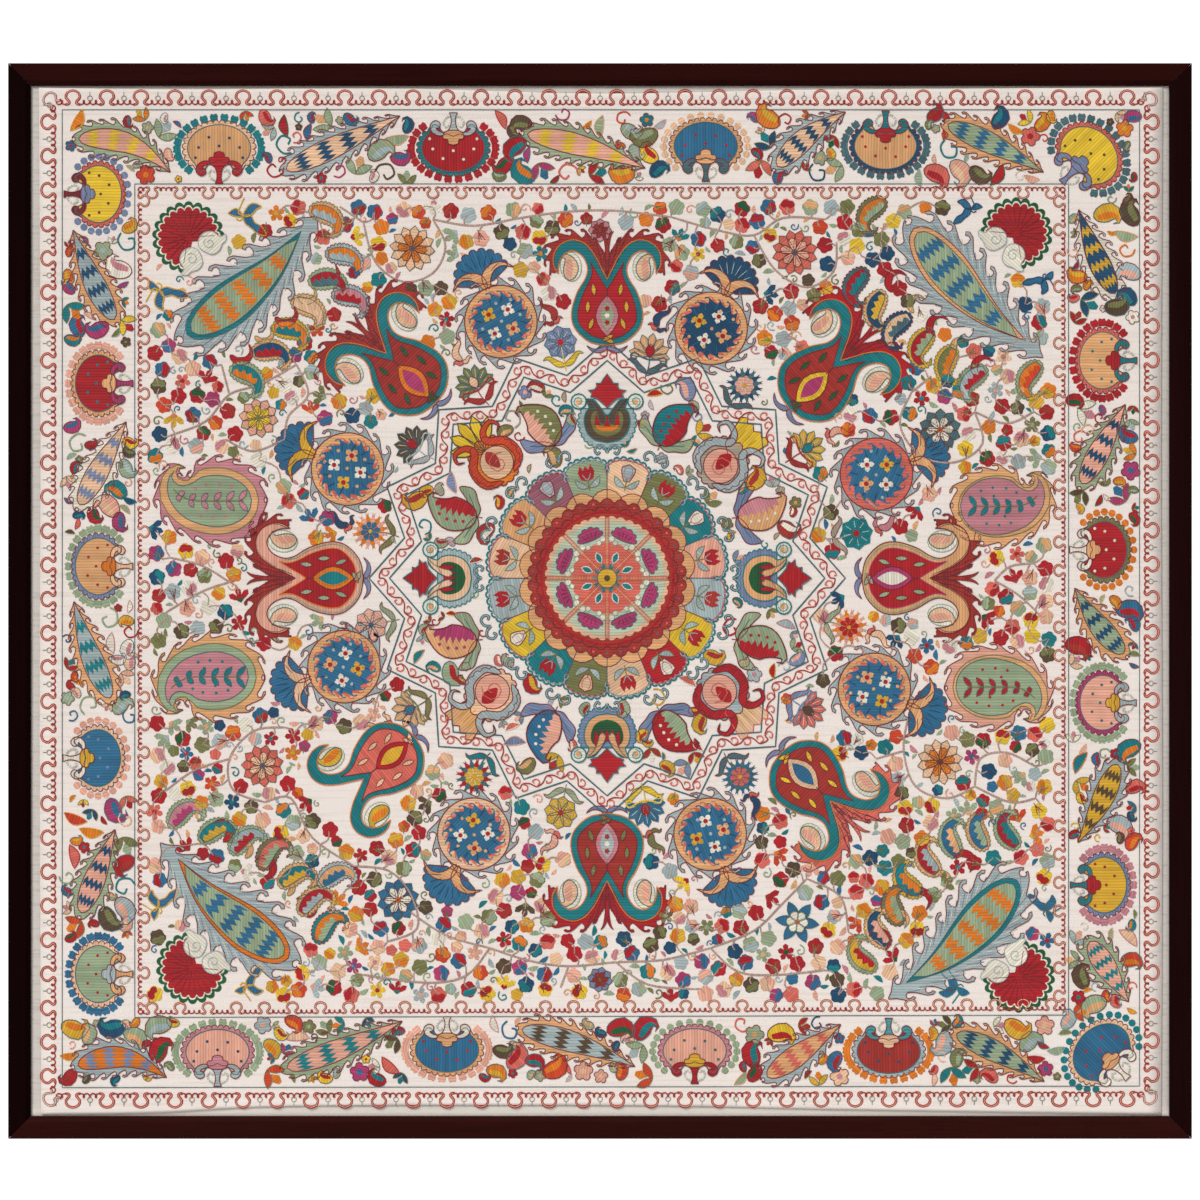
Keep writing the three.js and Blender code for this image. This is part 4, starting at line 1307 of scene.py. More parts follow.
def field_flower(work, spot, radius, lobes, petals, within_it, heart):
    if lobes == 6:
        for turn in range(0, 360, 60):
            work.edged(spot.inner(0, turn), leaf(radius, 13), within_it, "slate", 0, 1.3)
        work.edged(spot, scallops(radius * 0.5, 6, 3), petals, "olive", 1, 1.3)
    else:
        for turn in range(lobes):
            outline = petal(radius, radius * 5.4 / lobes, 6, 0.2)
            work.edged(spot.inner(0, 360 / lobes * turn), outline, petals, "brown", 0, 1.2)
        for turn in range(6):
            outline = petal(radius * 0.66, radius * 0.42, 6, 0.2)
            edge = heart if heart == "olive" else "maroon"
            work.edged(spot.inner(0, 60 * turn), outline, within_it, edge, 1, 0.9)
    work.fill(spot, circle(radius * 0.15, 8), heart, 2)


def vine_field(stems, fruit):
    dice = random.Random(41)
    runs = [curve(places, steps=5) for places in VINES]
    along_stems = np.concatenate(runs)
    for run in runs:
        stems.line(Spot(), run, "vine", 3.0, 0)
    for place, radius, lobes, silks in FIELD_FLOWERS:
        field_flower(fruit, Spot(place, dice.uniform(0, 60)), radius, lobes, *silks.split())
    box = (complex(-FIELD_HALF_WIDTH + 6, FIELD_LOW + 6), complex(FIELD_HALF_WIDTH - 2, FIELD_HIGH - 6))
    middles, radii = kept_clear()
    radii = radii - 1
    taken = (np.append(middles, along_stems), np.append(radii, np.ones(len(along_stems))))

    def outside(place):
        return abs(place - ROSETTE) > star_reach(place, STAR_OUTER) + 9

    berries, taken = scattered(dice, 45000, box, taken, 8.8, 10, outside)
    berries.sort(key=lambda found: np.abs(along_stems - found[0]).min())
    joints = along_stems
    for place, room in berries:
        nearest = joints[np.abs(joints - place).argmin()]
        away = place - nearest
        turn = bearing(away) + 90 + dice.uniform(-30, 30)
        middle = nearest + away / 2
        if 9 < abs(away) < 58 and (np.abs(middles - middle) > radii - 6).all():
            bend = away * 1j * dice.choice((-0.22, 0.22))
            stems.line(Spot(), curve([nearest, middle + bend, nearest + away * 0.9], steps=3), "vine", 2.1, 0)
        joints = np.append(joints, place)
        flesh, cheek = dice.choice(BERRY_SILKS).split()
        if dice.random() < 0.84:
            berry(fruit, Spot(place, turn, room / 9.8), flesh, cheek, dice.randrange(12))
        else:
            small_bloom(fruit, Spot(place, turn, room / 9.4), flesh, cheek, dice.randrange(2))
    smaller, taken = scattered(dice, 30000, box, taken, 6.9, 8.7, outside)
    for place, room in smaller:
        flesh, cheek = dice.choice(BERRY_SILKS).split()
        berry(fruit, Spot(place, dice.uniform(0, 360), room / 9.6), flesh, cheek, dice.randrange(12))
    leaves, taken = scattered(dice, 20000, box, taken, 3.8, 6, outside)
    for index, (place, room) in enumerate(leaves):
        spot = Spot(place, dice.uniform(0, 360), room / 6.6, index % 2 == 1)
        colour = dice.choice("sage sage olive mist salmon rose teal tan steel".split())
        if index % 3 == 2:
            curl = [-5 - 5j, -6 + 2j, -1 + 7j, 5 + 4j, 3 - 1j, -1 + 1j]
            stems.line(spot, curve(curl, steps=3), colour, 2.0, 0)
        else:
            stems.fill(spot.inner(-8j), leaf(17, 7.5, 2, 5), colour, 0)


# The main border: half-open fruit with beads round them, and bent almonds between

# x + z, turn, width, height, then the silks of the disc, its rim, the beads, the dots, the foot and its heart
BORDER_FRUIT = (
    (-483 + 574j, 0, 1.0, 1.0, "tan peach teal navy crimson crimson"),
    (-186 + 574j, 180, 1.0, 1.0, "crimson teal crimson cream mist tan"),
    (134 + 577j, 0, 1.0, 1.0, "steel tan peach crimson slate tan"),
    (362 + 577j, 180, 0.98, 0.98, "tan navy slate crimson teal crimson"),
    (620 + 565j, -45, 1.0, 1.08, "yellow coral slate brown lavender lavender"),
    (-636 + 516j, -90, 0.9, 0.97, "yellow coral lavender brown maroon lavender"),
    (-636 + 276j, 90, 0.9, 0.97, "crimson tan salmon teal magenta tan"),
    (-636 + 44j, 90, 0.9, 0.97, "tan lavender sage brick peach orange"),
    (-637 - 199j, -90, 0.9, 0.97, "steel peach salmon lavender cream mustard"),
    (-636 - 473j, 90, 0.9, 0.97, "sage peach steel crimson tan mist"),
    (637 + 305j, 90, 0.9, 0.97, "tan coral crimson teal teal crimson"),
    (639 + 65j, -90, 0.9, 0.97, "crimson olive orange cream cream tan"),
    (637 - 129j, 90, 0.87, 0.95, "salmon magenta sage slate mist mustard"),
    (639 - 360j, -90, 0.88, 0.95, "mustard lavender rose brick teal crimson"),
    (636 - 572j, 45, 1.0, 1.05, "steel peach teal crimson cream tan"),
    (-485 - 572j, 0, 1.0, 0.96, "salmon rose sage navy mist rose"),
    (-194 - 569j, 180, 1.0, 0.93, "steel tan salmon crimson cream tan"),
    (120 - 570j, 0, 1.0, 0.93, "salmon rose sage slate crimson mustard"),
    (366 - 571j, 180, 1.0, 0.93, "brick mist orange navy cyan peach"),
)


def border_fruit(work, spot, index, wide, high, disc, rim, beads, dots, foot, heart):
    """A half-open pomegranate: a disc with a scalloped rim, a row of beads, and an anchor at its foot"""

    def shaped(points):
        points = np.asarray(points, complex)
        return points.real * wide + 1j * points.imag * high

    count = 20 if wide > 0.9 else 19
    for bead in range(count):
        angle = math.radians(-44 + 268 * bead / (count - 1))
        place = complex(shaped(complex(53.5 * math.cos(angle), 39 * math.sin(angle))))
        turn = bearing(complex(place.real * 0.55, place.imag)) - 90
        if index % 3 == 2:
            outline = circle(4.9, 8)
        else:
            outline = [-4.2 - 4.8j, -5.4 + 2j, -3.4 + 5.6j, 4.4j, 3.4 + 5.6j, 5.4 + 2j, 4.2 - 4.8j]
        work.fill(spot.inner(place, turn), outline, beads, 0)
    ring = arc(1, -40, 220, 70)
    edge = bumps(shaped(ring.real * 43.5 + 1j * ring.imag * 32.5), -3.6, 7.6, steps=5)
    mouth = curve(shaped([-28 - 30j, -20 - 30j, -12 - 19j, -17j, 12 - 19j, 20 - 30j, 28 - 30j]), steps=3)
    work.edged(spot, np.concatenate([edge, mouth]), rim, "maroon", 0, 1.4)
    inner = shaped(ring.real * 40 + 1j * ring.imag * 30)
    work.edged(spot, np.concatenate([inner, mouth[1:-1] + 1j]), disc, "slate", 1, 1.5, run=90)
    for place in (-26 + 1j, -13 + 14j, 13 + 13j, 26 + 1j, 3j, -30 - 12j, 30 - 12j):
        work.fill(spot.inner(complex(shaped(place))), circle(2.3, 7), dots, 2)
    crown = curve(shaped([-15j, 8 - 18j, 15 - 16j, 22 - 17j, 28 - 22j, 29 - 30j, 23 - 35j, 17 - 32j, 18 - 26j,
                          22 - 25j, 17 - 21j, 9 - 21j, 4 - 27j, 2.5 - 37j, 5 - 45j]), steps=3)
    work.edged(spot, mirrored(crown), foot, "maroon", 2, 1.4)
    blossom = curve(shaped([-23j, 8 - 22j, 13 - 17j, 12 - 12j, 7 - 11j, 6 - 6j, -4j]), steps=3)
    work.edged(spot, mirrored(blossom), heart, "maroon", 3, 1.2)
    for side in (-1, 1):
        curl = shaped([side * 4 - 41j, side * 9 - 39j, side * 13 - 33j, side * 10 - 27j, side * 6 - 30j])
        work.line(spot, curve(curl, steps=3), "cream", 3.2, 1)
        work.line(spot, curve(curl, steps=3), "mist", 1.1, 2)


# The round end, the tip, the bend, then the silks of the feathers, the ground and its marks
BORDER_ALMONDS = (
    (-661 + 586j, -545 + 544j, 16, "sage salmon yellow"), (-398 + 547j, -254 + 615j, 0, "mist peach navy"),
    (-92 + 592j, 57 + 549j, 5, "sage salmon yellow"), (225 + 551j, 311 + 620j, 6, "mist peach navy"),
    (441 + 604j, 562 + 544j, 3, "tan sage steel"), (-616 + 357j, -668 + 470j, 4, "tan mist navy"),
    (-660 + 122j, -601 + 227j, 0, "cream peach lavender"), (-621 - 123j, -667 - 1j, 4, "tan mist teal"),
    (-658 - 395j, -615 - 290j, 0, "sage salmon navy"), (-662 - 589j, -550 - 604j, 18, "mist orange lavender"),
    (-397 - 592j, -251 - 533j, -3, "sage salmon teal"), (-99 - 543j, 44 - 590j, 5, "tan mist brown"),
    (212 - 603j, 305 - 537j, 0, "mist tan coral"), (452 - 549j, 563 - 609j, 4, "tan sage navy"),
    (653 + 390j, 607 + 496j, 3, "cream navy mustard"), (611 + 149j, 666 + 249j, 0, "sage salmon navy"),
    (664 - 66j, 602 + 16j, 4, "tan sage navy"), (656 - 207j, 606 - 306j, 3, "mist mustard brown"),
    (621 - 432j, 670 - 508j, 0, "sage salmon teal"),
)


def border_form(head, tip, bend, wide=28):
    """A border almond about its middle line, which is bent to the left"""
    t = np.linspace(0, 1, 5)
    side = 1j * (tip - head) / abs(tip - head)
    return Form(head + (tip - head) * t + side * bend * np.sin(np.pi * t), wide, 0.36, 7)


def border_almond(work, head, tip, bend, feathers, ground, marks):
    spot, form = Spot(), border_form(head, tip, bend)
    feathered(work, spot, form, 4.5, 9.5, 14, feathers)
    work.edged(spot, form.outline(0.98, steps=14), ground, "maroon", 1, 1.4)
    for index in range(4):
        first = 0.1 + 0.2 * index
        work.fill(spot, form.band(first, first + 0.09, 0.9, (4, 4, 3, 2)[index], 0.03), marks, 2)


def border_filling(work):
    """Small leaves, commas and flowers in what the fruit and the almonds leave free"""
    dice = random.Random(77)
    places = []
    for place, turn, wide, high, *_ in BORDER_FRUIT:
        spot = Spot(place, turn)
        places += [(spot(side * 26 * wide - low * high * 1j), reach) for side in (-1, 1)
                   for low, reach in ((-2, 34), (26, 24))] + [(spot(6j * high), 39), (spot(-40j * high), 11)]
    for head, tip, bend, *_ in BORDER_ALMONDS:
        places += covering(border_form(head, tip, bend, 46), np.linspace(0.03, 1, 10), 6)
    taken = as_circles(places)
    for needed, most, tries in ((9, 12.5, 900), (4.6, 9, 1800)):
        for box in ((-680 + 530j, 682 + 621j), (-680 - 612j, 682 - 528j), (-680 - 530j, -591 + 530j),
                    (595 - 530j, 683 + 530j)):
            low, high = box[0] + (1 + 1j) * needed, box[1] - (1 + 1j) * needed
            found, taken = scattered(dice, tries, (low, high), taken, needed, most)
            for place, room in found:
                spot = Spot(place, dice.uniform(0, 360), room / 10, dice.random() < 0.5)
                filler(work, spot, *dice.choice(BERRY_SILKS).split(), dice.randrange(10))


def filler(work, spot, first, second, kind):
    """One of the small things that fill the border and the star"""
    if kind < 4:
        comma = Form([-13j, -3j, 1 + 5j, 8 + 11j, 14 + 8j, 13 + 3j], 19, 0.42, 4, slim=0.8)
        work.edged(spot, comma.outline(1, steps=9), first, "maroon" if kind % 2 else "slate", 0, 1.3)
        t = np.linspace(0.1, 0.8, 6)
        work.fill(spot, np.concatenate([comma.at(t, -0.7), comma.at(t[::-1], 0.1)]), second, 1)
    elif kind < 6:
        work.edged(spot.inner(-12j), leaf(25, 10, 3), first, second, 0, 1.5)
    elif kind < 8:
        for turn in (-44, 44):
            work.edged(spot.inner(-8j, turn), leaf(19, 8, 1), first, "olive", 0, 1.1)
        work.fill(spot.inner(-2j), [0, 5 + 7j, 2 + 13j, -2 + 13j, -5 + 7j], second, 1)
    elif kind == 8:
        work.edged(spot, scallops(10, 5, 3, 4), first, "maroon", 0, 1.2)
        work.fill(spot, circle(3.4, 8), second, 1)
    else:
        curl = [-11 - 6j, -3 - 9j, 6 - 3j, 4 + 7j, -5 + 7j, -5 + 1j]
        work.line(spot, curve(curl, steps=4), first, 2.6, 0)


def main_border(fruit, almonds, filling):
    for index, (place, turn, wide, high, silks) in enumerate(BORDER_FRUIT):
        border_fruit(fruit, Spot(place, turn), index, wide, high, *silks.split())
    for head, tip, bend, silks in BORDER_ALMONDS:
        border_almond(almonds, head, tip, bend, *silks.split())
    border_filling(filling)


# The narrow guards on both sides of the border, and the thin lines along them

GUARD_OUTER = (-690 + 629j, 690 + 629j, 690 - 622j, -690 - 624j)
GUARD_INNER = (-586 + 525j, 590 + 525j, 590 - 519j, -586 - 524j)
LINES = (  # the corners of each thin line
    (-682 + 623j, 684 + 623j, 684 - 615j, -682 - 617j), (-590 + 529j, 594 + 529j, 594 - 525j, -590 - 528j),
)
ARCH = (10 + 0.5j, 5.4 + 1.4j, 4.5 + 4.2j, 8.8 + 9.4j, 7 + 15.6j, 18.4j)


def guard(work, corners_of_it, pitch, size, outwards):
    """A row of horseshoe arches along four sides, joined by running loops"""
    half_arch = np.array(ARCH) * size
    arch = np.concatenate([-half_arch.conj(), half_arch[-2::-1]])
    for index, start in enumerate(corners_of_it):
        end = corners_of_it[(index + 1) % 4]
        length, turn = abs(end - start), bearing(end - start)
        count = round(length / pitch)
        half = length / count / 2
        share = np.linspace(0, 1, 14)
        turns = 3 * np.pi * share
        link = arch[-1].real + share * (half - arch[-1].real) + 2.6 * np.sin(turns) * (1 - share ** 4)
        link = link + 1j * (0.6 + (2.7 if outwards else 2.1) * (1 - np.cos(turns)))
        facing = turn if outwards else turn + 180
        for unit in range(count):
            middle = start + (end - start) * (unit + 0.5) / count
            spot = Spot(middle, facing)
            work.line(spot, curve(arch, steps=2), "brick", 4.1 if outwards else 3.2, 0)
            work.line(spot, curve(arch, steps=2)[1:-1], "salmon" if outwards else "peach", 1.2, 1)
            for links in (link, -link.conj()):
                work.line(spot, links, "brick", 2.1 if outwards else 1.8, 0)
            if outwards:
                work.line(spot.inner(half + 8.5j), circle(3.2, 8), "taupe", 1.3, 0, closed=True)
                work.line(spot.inner(half + 12j), [0, 4.5j], "slate", 1.1, 0)
        if outwards:
            corner = Spot(start, turn + 45)
            work.line(corner, curve(arch, steps=2), "brick", 3.4, 0)
            work.line(corner, curve(arch, steps=2)[1:-1], "cream", 1.3, 1)


def guards(work):
    guard(work, GUARD_OUTER, 43, 1.0, True)
    guard(work, GUARD_INNER, 35.5, 0.78, False)
    for corners_of_it in LINES:
        work.line(Spot(), np.array(corners_of_it), "slate", 1.0, 0, closed=True)


# Finishes. Every pattern's scale is a real size in metres

def add_node(tree, kind, inputs=(), **settings):
    """Adds a node with its settings. Its inputs, in order or by name, are each a value, a hex colour, or the
    node or socket that feeds it"""
    made = tree.nodes.new("ShaderNode" + kind)
    for name, value in settings.items():
        setattr(made, name, value)
    for name, value in inputs.items() if isinstance(inputs, dict) else enumerate(inputs):
        if isinstance(value, bpy.types.Node):
            value = value.outputs[0]
        if isinstance(value, bpy.types.NodeSocket):
            tree.links.new(value, made.inputs[name])
        else:
            made.inputs[name].default_value = (*to_linear(value), 1) if isinstance(value, str) else value
    return made


def new_finish(name):
    """An empty material, its tree, and where a point lies on the piece in metres"""
    material = bpy.data.materials.new(name)
    material.use_nodes = True
    tree = material.node_tree
    tree.nodes.clear()
    return material, tree, add_node(tree, "TexCoord").outputs["Object"]


def speckle(tree, place, scale, detail=2, stretch=(1, 1, 1), roughness=0.5):
    """A pattern of a size in metres, drawn out along an axis where its stretch is large"""
    scaled = add_node(tree, "VectorMath", [place, [1 / (scale * s) for s in stretch]], operation="MULTIPLY")
    inputs = {"Vector": scaled, "Scale": 1, "Detail": detail, "Roughness": roughness}
    return add_node(tree, "TexNoise", inputs)


def silk_finish(spacing):
    """Silk floss, couched in rows: each row is a soft ridge, a little lighter or darker than the next. The
    colour is also painted lighter along each ridge's middle and darker in the gaps between rows, as painted
    highlight and shade. The dyes keep a slight sheen"""
    material, tree, place = new_finish("couched_silk_floss")
    dye = add_node(tree, "Attribute", attribute_name="silk_colour")
    run = add_node(tree, "Attribute", attribute_name="thread_run").outputs["Vector"]
    along, _, kind = add_node(tree, "SeparateXYZ", [run]).outputs
    x, _, z = add_node(tree, "SeparateXYZ", [place]).outputs
    flat = add_node(tree, "CombineXYZ", [x, z, kind])
    straight = add_node(tree, "VectorMath", [flat, run], operation="DOT_PRODUCT").outputs["Value"]
    away = add_node(tree, "VectorMath", [flat, run], operation="DISTANCE").outputs["Value"]
    across = add_node(tree, "Mix", {0: kind, 2: straight, 3: away})
    is_line = add_node(tree, "Math", [kind, 1.0], operation="SUBTRACT")
    across = add_node(tree, "Mix", {0: is_line, 2: across, 3: along})
    wobble = speckle(tree, place, 0.03, 1)
    across = add_node(tree, "Math", [wobble, 0.0024, across], operation="MULTIPLY_ADD")
    row = add_node(tree, "Math", [across, spacing], operation="DIVIDE")
    number = add_node(tree, "Math", [row], operation="FLOOR")
    fraction = add_node(tree, "Math", [row], operation="FRACT")
    from_middle = add_node(tree, "Math", [fraction, 0.5], operation="SUBTRACT")
    squared = add_node(tree, "Math", [from_middle, from_middle], operation="MULTIPLY")
    height = add_node(tree, "Math", [squared, -4.0, 1.0], operation="MULTIPLY_ADD")
    chance = add_node(tree, "TexWhiteNoise", {"W": number}, noise_dimensions="1D")
    fibres = speckle(tree, place, 0.0016, 3)
    tone = 0.45
    # The rows' height paints the colour too: a painted highlight along each ridge and painted shade in the
    # gaps between rows, besides its real use as the bump
    for pattern, amount in ((chance, 0.2), (height, 0.24), (fibres, 0.14)):
        tone = add_node(tree, "Math", [pattern, amount, tone], operation="MULTIPLY_ADD")
    patches = add_node(tree, "Math", [speckle(tree, place, 0.02, 2), 0.36, 0.82], operation="MULTIPLY_ADD")
    tone = add_node(tree, "Math", [tone, patches], operation="MULTIPLY")
    colour = add_node(tree, "VectorMath", {0: dye, "Scale": tone}, operation="SCALE")
    relief = add_node(tree, "Math", [fibres, 0.3, height], operation="MULTIPLY_ADD")
    bump = add_node(tree, "Bump", {"Strength": 0.6, "Distance": 0.0005, "Height": relief})
    roughness = add_node(tree, "Math", [fibres, 0.2, 0.48], operation="MULTIPLY_ADD")
    shader = add_node(tree, "BsdfPrincipled", {
        "Base Color": colour, "Normal": bump, "Roughness": roughness, "Specular IOR Level": 0.25,
        "Sheen Weight": 0.15, "Sheen Roughness": 0.4,
    })
    add_node(tree, "OutputMaterial", [shader])
    return material


def cotton_finish(name, light, dark, thread, painted_edge_light=None):
    """Plain-woven cotton: threads over and under at right angles, with slubs, thin darker lines of painted
    shade along its fine creases, and faint clouds of age. The last argument gives a colour of painted
    reflected light and shade for its lower edge, where the board curves away beside the rail, and the heights
    that it fades between"""
    material, tree, place = new_finish(name)
    x, _, z = add_node(tree, "SeparateXYZ", [place]).outputs
    waves = []
    for axis in (x, z):
        angle = add_node(tree, "Math", [axis, math.pi / thread], operation="MULTIPLY")
        waves.append(add_node(tree, "Math", [angle], operation="SINE"))
    weave = add_node(tree, "Math", waves, operation="MULTIPLY")
    weave = add_node(tree, "Math", [weave], operation="ABSOLUTE")
    slubs = [speckle(tree, place, thread * 1.3, 2, stretch) for stretch in ((30, 1, 1), (1, 1, 30))]
    slubs = add_node(tree, "Math", slubs, operation="ADD")
    clouds = speckle(tree, place, 0.16, 3)
    # Thin dark lines along the fine creases: painted shade, which darkens the colour towards the dark cotton
    painted_crease_shade = add_node(tree, "Math", [speckle(tree, place, 0.0035, 1, (30, 1, 1)), 0.52], operation="SUBTRACT")
    painted_crease_shade = add_node(tree, "Math", [painted_crease_shade, 0.0], operation="MAXIMUM")
    share = -0.22
    for pattern, amount in ((weave, 0.25), (slubs, 0.3), (clouds, 0.45), (painted_crease_shade, -3.5)):
        share = add_node(tree, "Math", [pattern, amount, share], operation="MULTIPLY_ADD")
    colour = add_node(tree, "Mix", {0: share, 6: dark, 7: light}, data_type="RGBA").outputs[2]
    # A warm tint fading in towards the lower edge, where the board curves away beside the bottom rail:
    # painted reflected light from the rail and painted shade on the curve
    if painted_edge_light is not None:
        tone, low, high = painted_edge_light
        reach = add_node(tree, "MapRange",
                         {"Value": z, "From Min": low, "From Max": high, "To Min": 1.0, "To Max": 0.0})
        colour = add_node(tree, "Mix", {0: reach, 6: colour, 7: tone}, data_type="RGBA").outputs[2]
    relief = add_node(tree, "Math", [slubs, 0.8, weave], operation="MULTIPLY_ADD")
    bump = add_node(tree, "Bump", {"Strength": 0.5, "Distance": 0.0004, "Height": relief})
    shader = add_node(tree, "BsdfPrincipled", {
        "Base Color": colour, "Normal": bump, "Roughness": 0.9, "Specular IOR Level": 0.2,
        "Sheen Weight": 0.1,
    })
    add_node(tree, "OutputMaterial", [shader])
    return material


def wood_finish(name, light, dark, along):
    """Mahogany, stained nearly black-red and rubbed with wax: a faint grain along the rail shows under
    the stain, with fine open pores that are darker still"""
    material, tree, place = new_finish(name)
    stretch = (25, 1, 1) if along == "x" else (1, 1, 25)
    grain = speckle(tree, place, 0.004, 4, stretch, 0.6)
    figure = speckle(tree, place, 0.03, 2, stretch)
    pores = speckle(tree, place, 0.0012, 2, stretch, 0.7)
    share = -0.35
    for pattern, amount in ((grain, 0.9), (figure, 0.7)):
        share = add_node(tree, "Math", [pattern, amount, share], operation="MULTIPLY_ADD")
    colour = add_node(tree, "Mix", {0: share, 6: dark, 7: light}, data_type="RGBA").outputs[2]
    open_pore = add_node(tree, "Math", [pores, 0.64], operation="GREATER_THAN")
    stained = add_node(tree, "Math", [open_pore, 0.7], operation="MULTIPLY")
    colour = add_node(tree, "Mix", {0: stained, 6: colour, 7: dark}, data_type="RGBA").outputs[2]
    relief = add_node(tree, "Math", [open_pore, -0.8, grain], operation="MULTIPLY_ADD")
    bump = add_node(tree, "Bump", {"Strength": 0.25, "Distance": 0.0003, "Height": relief})
    roughness = add_node(tree, "Math", [grain, 0.2, 0.45], operation="MULTIPLY_ADD")
    shader = add_node(tree, "BsdfPrincipled", {
        "Base Color": colour, "Normal": bump, "Roughness": roughness, "Specular IOR Level": 0.015,
    })
    add_node(tree, "OutputMaterial", [shader])
    return material


# The add-on's own parts

def silk(name, hex_colour, use):
    return FloatVectorProperty(
        name=name, description=use, subtype="COLOR", size=3, min=0, max=1, default=to_linear(hex_colour)
    )


class SilkColours(bpy.types.PropertyGroup):
    """The silks that the motifs are worked in"""

    crimson: silk("Crimson", "#B01C24", "Tulips, hearts and the strongest reds")
    brick: silk("Brick", "#A8322A", "Flames, scrolls and the rosette's ring")
    vermilion: silk("Vermilion", "#CC4424", "Blossoms")
    coral: silk("Coral", "#D9695A", "The rosette's disc and light red lines")
    salmon: silk("Salmon", "#E8A890", "Blossoms and leaves")
    rose: silk("Rose", "#C8828A", "Faded pink petals")
    magenta: silk("Magenta", "#B03A6A", "Fans and hearts")
    mauve: silk("Mauve", "#9A5A6A", "One of the rosette's petals")
    maroon: silk("Maroon", "#7A2A30", "Most of the outlines")
    orange: silk("Orange", "#E07A20", "Almonds and starbursts")
    mustard: silk("Mustard", "#D9A830", "Flower hearts and leaves")
    yellow: silk("Yellow", "#E8C030", "Petals and leaves")
    tan: silk("Tan", "#E2A873", "Scallops, rings and rims")
    peach: silk("Peach", "#EBBE98", "The palest oranges")
    cream: silk("Cream", "#EAE2CF", "Dots and small petals")
    brown: silk("Brown", "#5A4632", "Flower hearts and dark lines")
    taupe: silk("Taupe", "#A89A88", "Faded browns")
    olive: silk("Olive", "#7A7A4A", "Leaves")
    sage: silk("Sage", "#9AAA88", "Leaves and grounds")
    celadon: silk("Pale green", "#BCC6AC", "The ring round the rosette's disc")
    green: silk("Green", "#1F5A34", "The darkest leaves")
    teal: silk("Teal", "#137A80", "Rims and outlines")
    cyan: silk("Light teal", "#4A9CA2", "Fine outlines")
    steel: silk("Steel blue", "#2E6A8E", "Roundels and fans")
    navy: silk("Navy", "#1E4A6A", "Dark blue petals and dots")
    lavender: silk("Lavender", "#7A88A8", "Pale blue wings")
    mist: silk("Mist", "#A6B4B4", "Feathered margins")
    slate: silk("Slate", "#4A6A70", "The star's lines and curls")
    vine: silk("Vine", "#B8998C", "The vines' stems")


class ClothAndWood(bpy.types.PropertyGroup):
    """Sizes of the cloth's detail, and the plain colours behind the silk"""

    thread_spacing: FloatProperty(
        name="Row spacing", description="From one row of couched silk to the next, drawn coarser than life",
        default=3.6 * MM, min=1 * MM, max=10 * MM, unit="LENGTH",
    )
    crease_height: FloatProperty(
        name="Crease height", description="How high the ground's fine creases stand",
        default=0.22 * MM, min=0, max=0.4 * MM, unit="LENGTH",
    )
    hem_width: FloatProperty(
        name="Hem width", description="Width of the cloth's turned edge",
        default=7 * MM, min=2 * MM, max=15 * MM, unit="LENGTH",
    )
    camera_distance: FloatProperty(
        name="Camera distance", description="From the rails' front to the camera",
        default=5, min=1, max=20, unit="LENGTH",
    )
    ground_light: silk("Ground, light", "#F4EAE3", "The ground cotton where it is cleanest")
    # The dark cotton is also the colour that the painted crease shade darkens towards
    ground_dark: silk("Ground, dark", "#E2D6CD", "The ground cotton between its threads")


def stitched(context, name, seed, draw, slot="silk_thread"):
    """Draws one piece of embroidery and lays it on the cloth"""
    work = Needlework(seed)
    draw(work)
    return sewn(context, work, name, slot)


def sewn(context, work, name, slot="silk_thread"):
    colours = context.scene.silk_colours
    silks = {key: tuple(getattr(colours, key)) for key in SilkColours.__annotations__}
    material = bpy.data.materials.get("couched_silk_floss")
    if material is None:
        material = silk_finish(context.scene.cloth_and_wood.thread_spacing)
    piece = work.finished(name, silks, slot, material)
    if len(piece.data.polygons) > MOST_FACES:
        raise RuntimeError(f"{name} has too many faces")
    return piece


class EMBROIDERY_OT_rails(bpy.types.Operator):
    """Stains the four rails"""

    bl_idname = "embroidery.rails"
    bl_label = "Stained rails"

    def execute(self, context):
        # Each rail gets its own lighter or darker copy of the same stain, the bottom lightest and the left
        # darkest: partly the wood's own differences and partly painted reflection, as the gloss of each rail
        # catches the light differently
        for name, along, light, dark in (
            ("rail_top", "x", "#310F0D", "#1E0806"), ("rail_bottom", "x", "#35120E", "#200A08"),
            ("rail_left", "z", "#150304", "#0B0202"), ("rail_right", "z", "#200809", "#120404"),
        ):
            finish = wood_finish(f"stained_mahogany_{name[5:]}", light, dark, along)
            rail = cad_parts[name]
            for place in rail.material_slots:
                place.material = finish
        return {"FINISHED"}


class EMBROIDERY_OT_mount_board(bpy.types.Operator):
    """Covers the padded board in cotton"""

    bl_idname = "embroidery.mount_board"
    bl_label = "Covered board"

    def execute(self, context):
        low = FRAME_MIDDLE.z - OPENING_HALF_HEIGHT * MM
        # The warm colour near the bottom margin, and the heights it fades between, are painted reflected
        # light from the bottom rail and painted shade where the board curves away
        # The real thread is about half as wide, too fine to show
        finish = cotton_finish("mount_cotton", "#DCD5CE", "#C0B8AF", 0.9 * MM,
                               ("#E8DED3", low + 1 * MM, low + 16 * MM))
        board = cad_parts["mount_board"]
        for place in board.material_slots:
            place.material = finish
        return {"FINISHED"}


